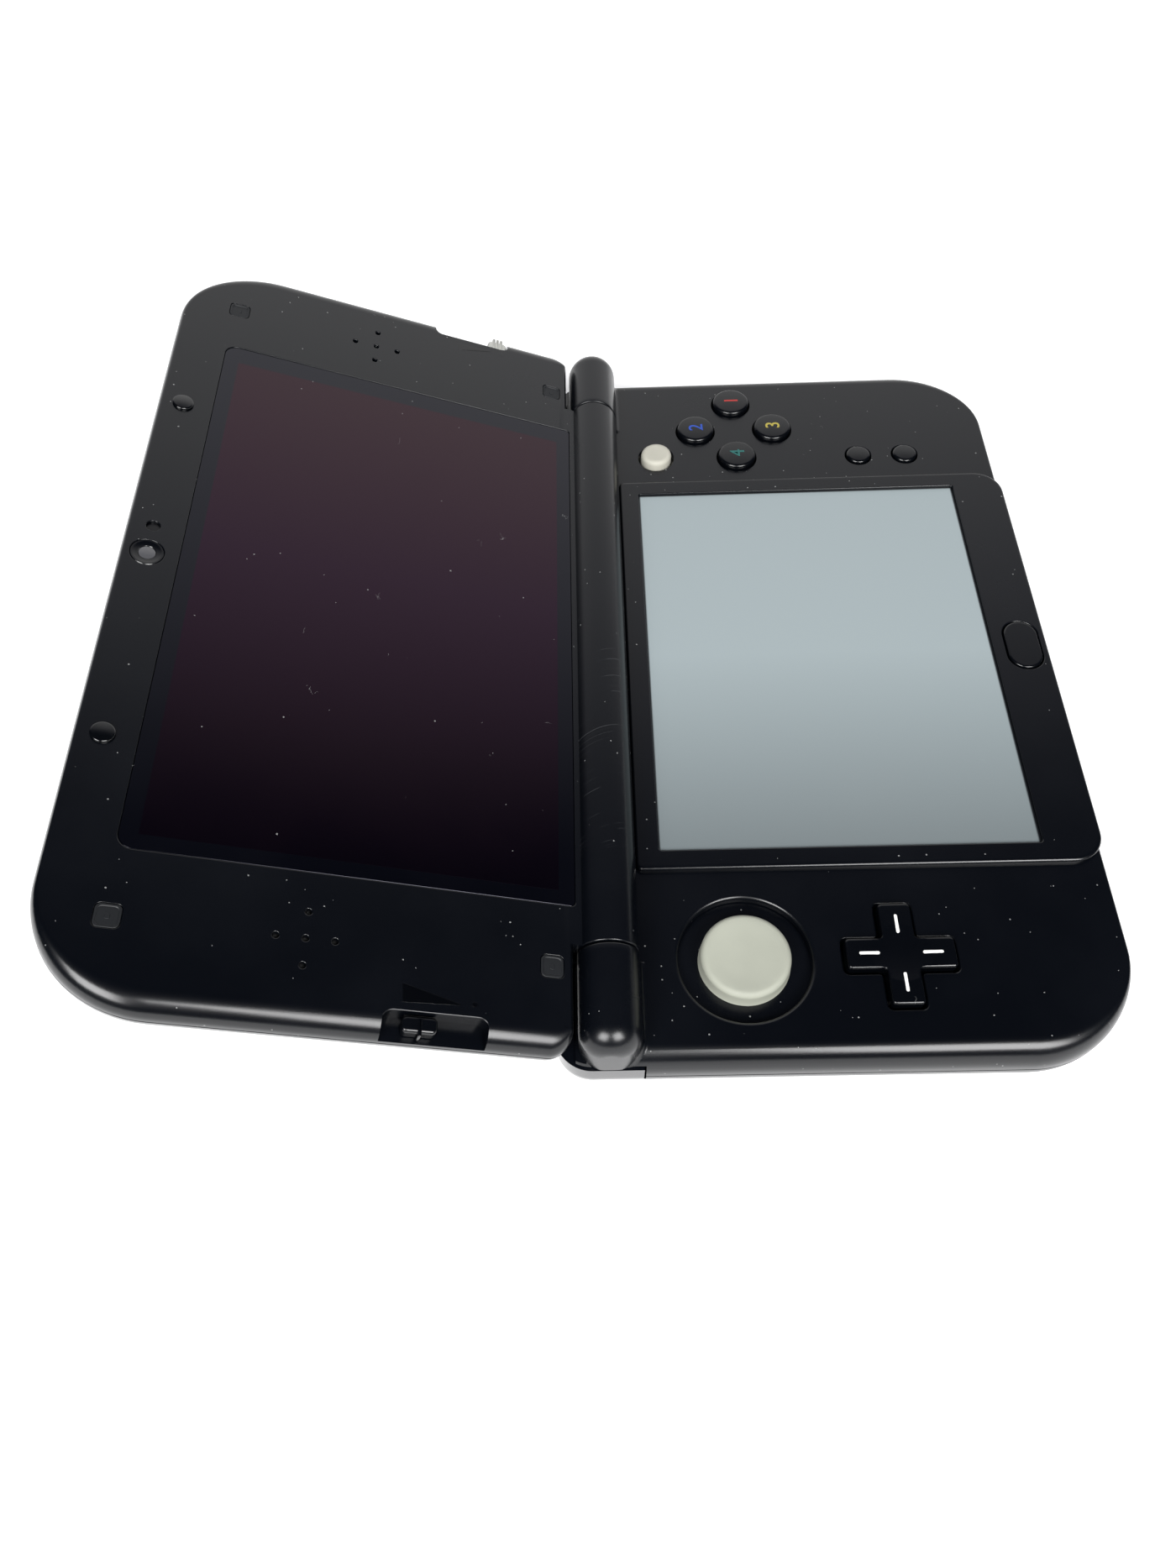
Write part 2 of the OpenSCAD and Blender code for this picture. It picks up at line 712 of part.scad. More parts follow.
module board_chips() {
    color(dark) for (p = [[10, -62, 12], [21, -54, 8], [42, -30, 10]])
        translate([p[0], p[1], board_h - 1.1]) soft_rect(p[2], p[2], 0.3, 1.1);
}

module battery() {
    color("dimgray") block([battery_x, -battery_y, cover_t],
        [battery_x + battery_w, -battery_y + battery_l, board_h - 0.2]);
}

module game_card_slot() {
    low = cage_h;
    front = front_wall_in + fit;
    color(steel) difference() {
        block([card_x - card_w / 2 - cage_t, front, low],
            [card_x + card_w / 2 + cage_t, cage_rear, board_h]);
        block([card_x - card_w / 2, front - cut, low + cage_t],
            [card_x + card_w / 2, cage_rear - 1, board_h + cut]);
    }
}

module memory_card_slot() {
    right = body_w / 2 - memory_side;
    color(steel) difference() {
        block([right - memory_w, -memory_y, board_h - memory_t], [right, -memory_y + memory_w, board_h]);
        block([right - memory_w + memory_sheet, -memory_y - cut, board_h - memory_t + memory_sheet / 2],
            [right - memory_sheet, -memory_y + memory_w - 2, board_h - memory_sheet]);
    }
}

module headphone_socket() {
    front = -base_front + end_round / 2;
    color(dark) difference() {
        union() {
            translate([0, front, jack_h]) rotate([-90, 0, 0]) rod(nose_r, jack_depth);
            block([-3.2, front_wall_in + fit, floor_h + fit],
                [3.2, front + jack_depth + 1, board_h]);
        }
        translate([0, front - cut, jack_h]) rotate([-90, 0, 0]) rod(jack_r, jack_depth + cut);
    }
}

module charging_port() {
    color(steel) difference() {
        block([port_x - 4.7, -0.8, 2.8], [port_x + 4.7, base_rear - 0.4, 6]);
        block([port_x - 4.3, 2, 3.2], [port_x + 4.3, base_rear + cut, 5.6]);
    }
    color(dark) block([port_x - 3.2, 1.5, 4.1], [port_x + 3.2, base_rear - 2, 4.7]);
}

module touch_screen() {
    color("lightsteelblue") translate([0, screen_y, screen_top - touch_t])
        translate([-screen_w / 2, -screen_l / 2, 0]) cube([screen_w, screen_l, touch_t]);
}

module lower_display() {
    color("dimgray") translate([-screen_w / 2, screen_y - screen_l / 2, screen_top - touch_t - lower_display_t])
        cube([screen_w, screen_l, lower_display_t]);
}

module at_slide_pad() {
    translate([-left_x, -slide_pad_y, 0]) children();
}

module slide_pad_housing() {
    color(dark) at_slide_pad() difference() {
        translate([0, 0, membrane_h]) soft_rect(pad_housing_w, pad_housing_w, 1, skirt_top - skirt_t - gap - carriage_t - gap - membrane_h);
        translate([0, 0, membrane_h - cut]) rod(pad_housing_r, 3);
    }
}

module slide_pad_carriage() {
    color("white") at_slide_pad() translate([0, 0, skirt_top - skirt_t - gap - carriage_t])
        soft_rect(carriage_w, carriage_l, 1, carriage_t);
}

module slide_pad_skirt() {
    color(black) at_slide_pad() translate([0, 0, skirt_top - skirt_t]) rod(skirt_r, skirt_t);
}

module slide_pad_cap() {
    r = slide_cap_d / 2;
    h = face_h + slide_cap_rise - skirt_top;
    color(grey) at_slide_pad() translate([0, 0, skirt_top]) difference() {
        rotate_extrude($fn = 96) union() {
            square([r - 0.8, h]);
            square([r, h - 0.8]);
            translate([r - 0.8, h - 0.8]) circle(0.8, $fn = 48);
        }
        translate([0, 0, h + 50 - 0.25]) sphere(50, $fn = 96);
    }
}

module at_dpad() {
    translate([-left_x, -dpad_y, 0]) children();
}

module dpad() {
    color(black) at_dpad() {
        translate([0, 0, dpad_flange_top - dpad_flange_t]) rod(dpad_flange_r, dpad_flange_t);
        translate([0, 0, dpad_flange_top]) cross(dpad_w, dpad_arm, face_h + dpad_rise - dpad_flange_top);
    }
}

module dpad_pivot() {
    color("white") at_dpad() translate([0, 0, membrane_h + membrane_t + 0.1])
        rotate_extrude($fn = 48) polygon([[0, 0], [1, 0], [0.4, 0.6], [0, 0.6]]);
}

module button_membranes() {
    color("lightgray") {
        translate([diamond_x, -diamond_y, membrane_h]) rod(diamond_pitch + face_button_d / 2 + flange, membrane_t);
        at_dpad() translate([0, 0, membrane_h]) rod(8, membrane_t);
        for (i = [0 : 1]) translate([menu_x, -menu_y - i * menu_pitch, membrane_h]) rod(menu_d / 2 + flange, membrane_t);
    }
}

module face_button(i) {
    color(black) at_diamond(i) round_button(face_button_d, face_h + button_rise, ceiling);
}

module face_button_1() face_button(0);
module face_button_2() face_button(1);
module face_button_3() face_button(2);
module face_button_4() face_button(3);

module menu_button(i) {
    color(black) translate([menu_x, -menu_y - i * menu_pitch, 0])
        round_button(menu_d, face_h + menu_rise, ceiling);
}

module start_button() menu_button(0);
module select_button() menu_button(1);

module home_button() {
    top = panel_h + 0.2;
    under = panel_h - face_wall - gap - flange_t;
    color(black) translate([0, -home_y, under]) {
        stadium(home_l, home_w, top - under);
        stadium(home_l + 2 * flange, home_w - 2 * gap, flange_t);
    }
}

module power_button() {
    color(dark) translate([power_x, front_wall_in + gap + flange_t, split_h]) rotate([90, 0, 0]) {
        stadium(power_w, power_t, side_wall + end_round + gap + flange_t - 0.2);
        stadium(power_w + 2 * flange, power_t + 2 * flange, flange_t);
    }
}

module at_stick() {
    translate([stick_x, -stick_y, 0]) children();
}

module stick_gimbal() {
    color("white") at_stick() translate([0, 0, membrane_h + gap]) rod(stick_d / 2 - 0.2, gap);
}

module stick_cap() {
    color(pale) at_stick() {
        translate([0, 0, stick_foot]) rod(stick_d / 2 + 1, 0.6);
        translate([0, 0, stick_foot]) rotate_extrude($fn = 64) union() {
            h = face_h + stick_rise - stick_foot;
            square([stick_d / 2 - 0.9, h]);
            square([stick_d / 2, h - 0.9]);
            translate([stick_d / 2 - 0.9, h - 0.9]) circle(0.9, $fn = 48);
        }
    }
}

// A shoulder button wraps the rear corner and turns on a pin at its front end
module shoulder_button() {
    color(black) difference() {
        intersection() {
            case_half(concat(edge_steps(0, lower_round), [[0, axis_h]]),
                -base_front, base_rear, front_corner_r, rear_corner_r);
            shoulder_region(0);
        }
        rounded_block(body_w, -base_front, base_rear, front_corner_r, rear_corner_r,
            0, axis_h, shoulder_t, shoulder_t);
        rear_edge_cut();
        translate([pivot_x, pivot_y, 0]) rod(pivot_r + run, axis_h);
    }
}

module left_shoulder_button() mirror([1, 0, 0]) shoulder_button();
module right_shoulder_button() shoulder_button();

// A trigger goes straight in beside the shoulder button
module trigger() {
    inside = base_rear - rear_wall_in - gap;
    color(black) translate([trigger_x, 0, split_h]) {
        block([-trigger_w / 2, inside - 1, -trigger_t / 2], [trigger_w / 2, base_rear + 0.4, trigger_t / 2]);
        block([-trigger_w / 2 - 1, inside - 1, -trigger_t / 2 - 0.6], [trigger_w / 2 + 1, inside, trigger_t / 2 - 0.2]);
    }
}

module left_trigger() mirror([1, 0, 0]) trigger();
module right_trigger() trigger();

module shoulder_pivot_pins() {
    color(steel) both_sides() translate([pivot_x, pivot_y, floor_h]) rod(pivot_r, lip_h - floor_h + 0.2);
}

module infrared_window() {
    color("#401820") block([window_ir_x - 6 + fit, base_rear - 1.4, 3 + fit],
        [window_ir_x + 6 - fit, base_rear - 0.1, 6.8 - fit]);
}

module light_pipes() {
    color("white") for (i = [0 : 1])
        translate([power_x + pipe_in + pipe_pitch * i, front_wall_in, split_h]) rotate([90, 0, 0])
            stadium(pipe_w - 2 * fit, pipe_t - 2 * fit, side_wall + end_round - 0.15);
}

module stylus() {
    color(black) translate([stylus_x, -base_front + 0.3, stylus_h]) rotate([-90, 0, 0]) {
        rod(stylus_r, stylus_len - 8);
        translate([0, 0, stylus_len - 8]) cylinder(r1 = stylus_r, r2 = 0.6, h = 8, $fn = 64);
    }
}

module hinge_pins() {
    color(steel) both_sides() axis_rod(pin_r, barrel_half - bush_len, barrel_half - bush_len + pin_len);
}

module hinge_sleeve(x0, x1) {
    on_lid() difference() {
        translate([x0, 0, 0]) rotate([0, 90, 0]) rod(barrel_bore_r, x1 - x0);
        translate([x0 - cut, 0, 0]) rotate([0, 90, 0]) rod(pin_r + run, x1 - x0 + 2 * cut);
    }
}

module hinge_bush() {
    color("peru") hinge_sleeve(-barrel_half, -barrel_half + bush_len);
}

module hinge_clutch() {
    color(steel) hinge_sleeve(barrel_half - clutch_len, barrel_half);
}

module hinge_flex() {
    color("orange") on_lid() difference() {
        translate([-barrel_half + bush_len + 2, 0, 0]) rotate([0, 90, 0])
            rod(barrel_bore_r - fit, 2 * barrel_half - bush_len - clutch_len - 4);
        translate([-body_w, 0, 0]) rotate([0, 90, 0]) rod(barrel_bore_r - 0.3, 2 * body_w);
    }
}

// Every place where something sits in the lid's inner face
module lid_fitting_cuts() {
    both_sides() for (x = [-1 : 1], y = [-1 : 1]) if (x == 0 || y == 0)
        translate([speaker_x + x * speaker_pitch, speaker_y + y * speaker_pitch, -lid_wall])
            rod(speaker_hole_r, lid_face + 2 * lid_wall);
    both_sides() for (y = [plug_far, plug_near]) translate([speaker_x, y, lid_face - plug_depth])
        soft_rect(plug_w, plug_w, 0.8, plug_depth + cut);
    both_sides() for (y = [plug_far, plug_near]) translate([speaker_x, y, -lid_t]) rod(screw_r, 2 * lid_t);
    both_sides() for (y = [plug_far, plug_near])
        translate([speaker_x, y, lid_face - plug_depth - screw_head_t]) rod(1.5, screw_head_t + cut);
    both_sides() translate([bumper_x, bumper_y, -lid_wall]) rod(bumper_r - 0.6, lid_face + 2 * lid_wall);
    translate([0, bumper_y, -lid_wall]) rod(camera_r + fit, lid_face + 2 * lid_wall);
    translate([sensor_x, bumper_y, -lid_wall]) rod(sensor_r + fit, lid_face + 2 * lid_wall);
    both_sides() block([slot_x, slot_near, lid_face - slot_t], [body_w, slot_far, lid_face + cut]);
    both_sides() block([slot_x - 1.2, slot_near + 0.6, lid_face - slot_t + 0.6],
        [slot_x + cut, slot_far - 0.6, lid_face - slot_t + 1.6]);
}

module lid_cavity(z0, z1) {
    rounded_block(body_w, web_y + 1, lid_far, lid_near_r + side_round, front_corner_r, z0, z1,
        side_wall + 2, side_wall);
}

module lid_bosses(low, high) {
    both_sides() for (y = [plug_far, plug_near + 1]) translate([speaker_x, y, low])
        rod(plug_w / 2 + 0.6, high - low);
}

module lid_inner_shell() {
    color(black) on_lid() difference() {
        union() {
            case_half(concat([[0, lid_split]], reversed([for (s = edge_steps(0, 1))
                [s[0], lid_face - (lid_inner_t - 0.6) * s[1]]])),
                lid_near, lid_far, lid_near_r + side_round, front_corner_r);
            translate([-barrel_half, 0, 0]) rotate([90, 0, 90]) linear_extrude(2 * barrel_half) union() {
                circle(barrel_r, $fn = 96);
                polygon([[0, -barrel_r], [web_y, lid_back], [web_y, lid_face], [0, lid_face]]);
            }
        }
        difference() {
            lid_cavity(lid_split - cut, lid_face - lid_wall);
            lid_bosses(lid_split - cut, lid_face);
            both_sides() block([slot_x - 2.4, slot_near - 1, lid_split - cut], [body_w, slot_far + 1, lid_face]);
        }
        translate([-glass_w / 2 - fit, glass_near - fit, glass_floor])
            cube([glass_w + 2 * fit, glass_l + 2 * fit, lid_t]);
        translate([-display_w / 2 - fit, web_y + 1.2, lid_split - cut])
            cube([display_w + 2 * fit, display_l + 2 * fit, lid_t]);
        translate([-barrel_half - cut, 0, 0]) rotate([0, 90, 0]) rod(barrel_bore_r, 2 * barrel_half + 2 * cut);
        lid_fitting_cuts();
    }
}

module lid_outer_shell() {
    color(black) on_lid() difference() {
        case_half(concat(edge_steps(lid_back, lid_t - lid_inner_t - 0.2), [[0, lid_split]]),
            lid_near, lid_far, lid_near_r + side_round, front_corner_r);
        block([-barrel_half - gap, 0, lid_back - cut], [barrel_half + gap, web_y + fit, lid_split + cut]);
        difference() {
            lid_cavity(lid_back + lid_wall, lid_split + cut);
            lid_bosses(lid_back, lid_split);
        }
        lid_fitting_cuts_low();
    }
}

module lid_fitting_cuts_low() {
    both_sides() for (y = [plug_far, plug_near]) translate([speaker_x, y, lid_back + lid_wall]) rod(screw_r, lid_t);
    both_sides() translate([outer_camera_x, outer_camera_y, lid_back - cut]) rod(outer_camera_r + fit, lid_wall + 2 * cut);
}

module screen_glass() {
    color("#161220") on_lid() translate([-glass_w / 2, glass_near, glass_floor])
        cube([glass_w, glass_l, glass_t]);
}

module upper_display() {
    color("dimgray") on_lid() translate([-display_w / 2, web_y + 1.2 + fit, glass_floor - display_t])
        cube([display_w, display_l, display_t]);
}

module speakers() {
    color(dark) on_lid() both_sides() translate([speaker_x, speaker_y, lid_face - lid_wall - 2.6])
        rod(speaker_r, 2.6);
}

module inner_camera() {
    color(black) on_lid() translate([0, bumper_y, 0]) difference() {
        union() {
            translate([0, 0, lid_face - lid_wall]) rod(camera_r, lid_wall - 0.1);
            translate([-3.4, -3.2, lid_face - lid_wall - 2.4]) cube([6.8, 5.4, 2.4]);
        }
        translate([0, 0, lid_face - 0.5]) cylinder(r1 = 1.2, r2 = camera_r - 0.5, h = 0.5, $fn = 64);
    }
}

module light_sensor() {
    color("#301418") on_lid() translate([sensor_x, bumper_y, 0]) {
        translate([0, 0, lid_face - lid_wall]) rod(sensor_r, lid_wall - 0.15);
        translate([0, 0, lid_face - lid_wall - 0.6]) rod(sensor_r + 0.7, 0.6);
    }
}

module outer_cameras() {
    color(dark) on_lid() both_sides() translate([outer_camera_x, outer_camera_y, 0]) difference() {
        union() {
            translate([0, 0, lid_back + 0.1]) rod(outer_camera_r, lid_wall);
            translate([0, 0, lid_back + lid_wall]) rod(outer_camera_r + 0.8, 1.8);
        }
        translate([0, 0, lid_back]) cylinder(r1 = outer_camera_r - 0.6, r2 = 1.4, h = 0.7, $fn = 64);
    }
}

module screw_covers() {
    color(dark) on_lid() both_sides() for (y = [plug_far, plug_near])
        translate([speaker_x, y, lid_face - plug_depth])
            soft_rect(plug_w - 2 * fit, plug_w - 2 * fit, 0.8, plug_depth - fit);
}

module lid_bumpers() {
    color(dark) on_lid() both_sides() translate([bumper_x, bumper_y, lid_face]) {
        translate([0, 0, -lid_wall]) rod(bumper_r - 0.6, lid_wall);
        rotate_extrude($fn = 64) intersection() {
            square([bumper_r, bumper_rise]);
            translate([0, bumper_rise - 4]) circle(4, $fn = 96);
        }
    }
}

module lid_screws() {
    color(steel) on_lid() both_sides() for (y = [plug_far, plug_near]) translate([speaker_x, y, 0]) {
        translate([0, 0, lid_back + lid_wall + 0.4]) rod(screw_r, lid_t - lid_wall - plug_depth - 0.6);
        translate([0, 0, lid_face - plug_depth - screw_head_t]) rod(1.5 - fit, screw_head_t - fit);
    }
}

// A slider knob with ribs, guided by a tongue in the slot's groove
module knob(at, len, proud, ribs) {
    low = lid_face - slot_t + gap;
    top = lid_face - 0.9;
    block([slot_x + gap, at, low], [body_w / 2 - proud, at + len, top]);
    block([slot_x - 1, at + 0.4, lid_face - slot_t + 0.6 + gap],
        [slot_x + 1, at + len - 0.4, lid_face - slot_t + 1.3]);
    for (i = [0 : ribs - 1]) translate([slot_x + gap, at + len * (i + 0.5) / ribs - 0.5, low])
        cube([body_w / 2 - proud - slot_x - gap + 0.5, 1, top - low]);
}

module volume_knob() {
    color(dark) on_lid() mirror([1, 0, 0]) knob(volume_at, volume_l, 1, 2);
}

module depth_knob() {
    color(pale) on_lid() knob(slot_near + gap, depth_l, 1, 1);
}

base_upper_shell();
base_lower_shell();
back_cover();
cover_screws();
base_screws();
mainboard();
board_chips();
battery();
game_card_slot();
memory_card_slot();
headphone_socket();
charging_port();
touch_screen();
lower_display();
slide_pad_housing();
slide_pad_carriage();
slide_pad_skirt();
slide_pad_cap();
dpad();
dpad_pivot();
button_membranes();
face_button_1();
face_button_2();
face_button_3();
face_button_4();
start_button();
select_button();
home_button();
power_button();
stick_gimbal();
stick_cap();
left_shoulder_button();
right_shoulder_button();
left_trigger();
right_trigger();
shoulder_pivot_pins();
infrared_window();
light_pipes();
stylus();
hinge_pins();
hinge_bush();
hinge_clutch();
hinge_flex();
lid_inner_shell();
lid_outer_shell();
screen_glass();
upper_display();
speakers();
inner_camera();
light_sensor();
outer_cameras();
screw_covers();
lid_bumpers();
lid_screws();
volume_knob();
depth_knob();
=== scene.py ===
import json
from math import acos, atan2, copysign, cos, pi, radians, sin, sqrt, tan
import bmesh
import bpy
import numpy as np
from mathutils import Matrix


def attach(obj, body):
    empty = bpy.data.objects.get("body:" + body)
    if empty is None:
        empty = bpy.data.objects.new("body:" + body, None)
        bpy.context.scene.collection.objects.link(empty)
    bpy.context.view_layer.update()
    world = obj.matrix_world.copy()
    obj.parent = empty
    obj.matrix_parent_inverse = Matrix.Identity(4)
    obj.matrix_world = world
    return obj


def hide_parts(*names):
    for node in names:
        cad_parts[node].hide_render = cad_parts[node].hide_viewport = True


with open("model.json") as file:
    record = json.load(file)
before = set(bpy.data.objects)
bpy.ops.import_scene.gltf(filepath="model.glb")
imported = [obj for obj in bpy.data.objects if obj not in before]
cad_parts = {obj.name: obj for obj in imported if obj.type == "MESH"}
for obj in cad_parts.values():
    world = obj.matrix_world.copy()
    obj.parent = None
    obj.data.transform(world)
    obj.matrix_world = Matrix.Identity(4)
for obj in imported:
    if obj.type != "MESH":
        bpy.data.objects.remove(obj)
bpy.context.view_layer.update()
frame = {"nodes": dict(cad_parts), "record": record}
record = frame["record"]
mm = 0.001


def addObject(name, data):
    # a new object in the scene, at the origin
    obj = bpy.data.objects.new(name, data)
    bpy.context.scene.collection.objects.link(obj)
    return obj


# the photograph's camera
camera = {"place": (-0.13257450513, 0.00240286916, 0.173301265552),
          "turn": ((-0.009502, 0.874228, -0.485422),
                   (-0.999564, -0.021868, -0.019817),
                   (-0.027939, 0.485022, 0.874055)),
          "lens": 24.828, "shiftX": 0.011776, "shiftY": 0.045394}

camData = bpy.data.cameras.new("camera")
camData.sensor_width = 36
camData.lens = camera["lens"]
camData.shift_x, camData.shift_y = camera["shiftX"], camera["shiftY"]
camData.clip_start = 0.005
cam = addObject("camera", camData)
cam.matrix_world = Matrix.Translation(camera["place"]) @ Matrix(camera["turn"]).to_4x4()
bpy.context.scene.camera = cam
bpy.context.scene.view_settings.view_transform = "Standard"


# shader tools
def feed(tree, socket, value):
    # a number, a colour or another node's output goes into a socket
    if isinstance(value, (tuple, list)):
        socket.default_value = (*value, 1.0)[:4]
    elif isinstance(value, (int, float)):
        socket.default_value = value
    else:
        tree.links.new(value, socket)


def node(tree, kind, **values):
    # a node with its properties set
    made = tree.nodes.new(kind)
    for key, value in values.items():
        setattr(made, key, value)
    return made


def calc(tree, operation, *values):
    # one Math node; its values are numbers or outputs
    made = node(tree, "ShaderNodeMath", operation=operation)
    for socket, value in zip(made.inputs, values):
        feed(tree, socket, value)
    return made.outputs[0]


def product(tree, first, *others):
    # numbers or outputs multiplied one after another
    for value in others:
        first = calc(tree, "MULTIPLY", first, value)
    return first


def fade(tree, value, low, high, start=0.0, end=1.0):
    # start at low, end at high, even between them and held beyond them
    made = tree.nodes.new("ShaderNodeMapRange")
    for i, number in enumerate((low, high, start, end)):
        made.inputs[i + 1].default_value = number
    tree.links.new(value, made.inputs[0])
    return made.outputs[0]


def axes(tree, vector):
    # the x, y and z of a vector
    split = tree.nodes.new("ShaderNodeSeparateXYZ")
    tree.links.new(vector, split.inputs[0])
    return split.outputs


def noise(tree, vector, scale, detail=2.0, **values):
    # a Noise Texture's grey output; in one dimension the vector is a number
    made = node(tree, "ShaderNodeTexNoise", **values)
    made.inputs["Detail"].default_value = detail
    feed(tree, made.inputs["Scale"], scale)
    tree.links.new(vector, made.inputs["W" if "noise_dimensions" in values else "Vector"])
    return made.outputs["Fac"]


def cells(tree, vector, scale):
    # Voronoi cells: three random numbers for each cell, and the distance to its centre
    made = tree.nodes.new("ShaderNodeTexVoronoi")
    tree.links.new(vector, made.inputs["Vector"])
    feed(tree, made.inputs["Scale"], scale)
    split = tree.nodes.new("ShaderNodeSeparateColor")
    tree.links.new(made.outputs["Color"], split.inputs[0])
    return split.outputs, made.outputs["Distance"]


def mixColour(tree, factor, a, b):
    # a at factor 0, b at factor 1
    made = node(tree, "ShaderNodeMix", data_type="RGBA")
    for key, value in (("Factor", factor), (6, a), (7, b)):
        feed(tree, made.inputs[key], value)
    return made.outputs[2]


def colourRamp(tree, value, stops):
    # a Color Ramp node; stops are places and colours
    ramp = tree.nodes.new("ShaderNodeValToRGB")
    while len(ramp.color_ramp.elements) < len(stops):
        ramp.color_ramp.elements.new(0.5)
    for element, (position, colour) in zip(ramp.color_ramp.elements, stops):
        element.position, element.color = position, (*colour, 1)
    tree.links.new(value, ramp.inputs[0])
    return ramp.outputs[0]


# surface effects that more than one finish uses
def newGroup(name, **values):
    # a node group that takes a vector and the named numbers, and gives one number
    group = bpy.data.node_groups.new(name, "ShaderNodeTree")
    group.interface.new_socket(name="Vector", in_out="INPUT", socket_type="NodeSocketVector")
    for label, value in values.items():
        socket = group.interface.new_socket(name=label.replace("_", " "), in_out="INPUT",
                                            socket_type="NodeSocketFloat")
        socket.default_value = value
    group.interface.new_socket(name="Mask", in_out="OUTPUT", socket_type="NodeSocketFloat")
    sources = group.nodes.new("NodeGroupInput").outputs[:len(values) + 1]
    return group, sources, group.nodes.new("NodeGroupOutput").inputs[0]


def makeDustGroup():
    # sparse round specks: a speck is a cell whose random number passes, and lies within its radius
    g, (vector, scale, share, size), out = newGroup("dustSpecks", Cells_per_metre=400.0, Share=0.1, Size=0.12)
    random, distance = cells(g, vector, scale)
    chosen = calc(g, "LESS_THAN", random[0], share)
    reach = product(g, calc(g, "ADD", random[1], 0.35), size)
    g.links.new(product(g, chosen, calc(g, "LESS_THAN", distance, reach)), out)
    return g


def makeHairGroup():
    # short thin hairs and scratches: narrow bands of a warped wave, kept only in a few cells
    g, (vector, scale, share, width), out = newGroup("fineScratches", Scale=420.0, Share=0.12, Width=0.003)
    band = calc(g, "ABSOLUTE", calc(g, "SUBTRACT", noise(g, vector, scale), 0.5))
    random = cells(g, vector, product(g, scale, 1.7))[0]
    chosen = calc(g, "LESS_THAN", random[2], share)
    g.links.new(product(g, calc(g, "LESS_THAN", band, width), chosen), out)
    return g


def makeSmudgeGroup():
    # broad handling marks, from 0 on clean plastic to 1 in the middle of a smear
    g, (vector, scale), out = newGroup("handlingSmudge", Scale=35.0)
    g.links.new(fade(g, noise(g, vector, scale, 5), 0.42, 0.72), out)
    return g


def makeGrainGroup():
    # moulded grain: two noises, a fine one and one about three times coarser
    g, (vector, scale), out = newGroup("mouldedGrain", Scale=4000.0)
    fine, coarse = (noise(g, vector, product(g, scale, part)) for part in (1.0, 0.33))
    g.links.new(calc(g, "ADD", product(g, fine, 0.6), product(g, coarse, 0.4)), out)
    return g


def makeScuffGroup():
    # rub marks on the hinge barrel: thin bands across its length, broken up around it,
    # kept to the barrel's skin, where y^2 + (z - axis)^2 is near its radius squared
    g, (vector, axis, radius, start, end), out = newGroup("barrelScuffs", Axis_height=0.0146, Radius=0.005,
                                                          From=-0.048, To=0.004)
    skinDepth = 0.00012
    x, y, z = axes(g, vector)
    up = calc(g, "SUBTRACT", z, axis)
    reach = calc(g, "SQRT", calc(g, "ADD", product(g, y, y), product(g, up, up)))
    onSkin = calc(g, "LESS_THAN", calc(g, "ABSOLUTE", calc(g, "SUBTRACT", reach, radius)), skinDepth)
    along = product(g, calc(g, "GREATER_THAN", x, start), calc(g, "LESS_THAN", x, end))
    bent = calc(g, "ADD", x, product(g, y, 0.35))
    bands = fade(g, noise(g, bent, 2600.0, noise_dimensions="1D"), 0.64, 0.74)
    patches = fade(g, noise(g, vector, 160.0), 0.5, 0.62)
    g.links.new(product(g, bands, patches, onSkin, along), out)
    return g


groups = {"dust": makeDustGroup(), "hair": makeHairGroup(), "smudge": makeSmudgeGroup(),
          "grain": makeGrainGroup(), "scuff": makeScuffGroup()}


def placeGroup(tree, key, vector, **values):
    # a shared group in a finish, with the finish's own numbers
    made = node(tree, "ShaderNodeGroup", node_tree=groups[key])
    tree.links.new(vector, made.inputs["Vector"])
    for label, value in values.items():
        made.inputs[label.replace("_", " ")].default_value = value
    return made.outputs[0]


# what every finish has in common
surface = {"dust": (0.45, 0.46, 0.45), "dustRough": 0.3, "scuff": (0.2, 0.21, 0.22), "grainDepth": 0.00003,
           "coatRough": 0.05}


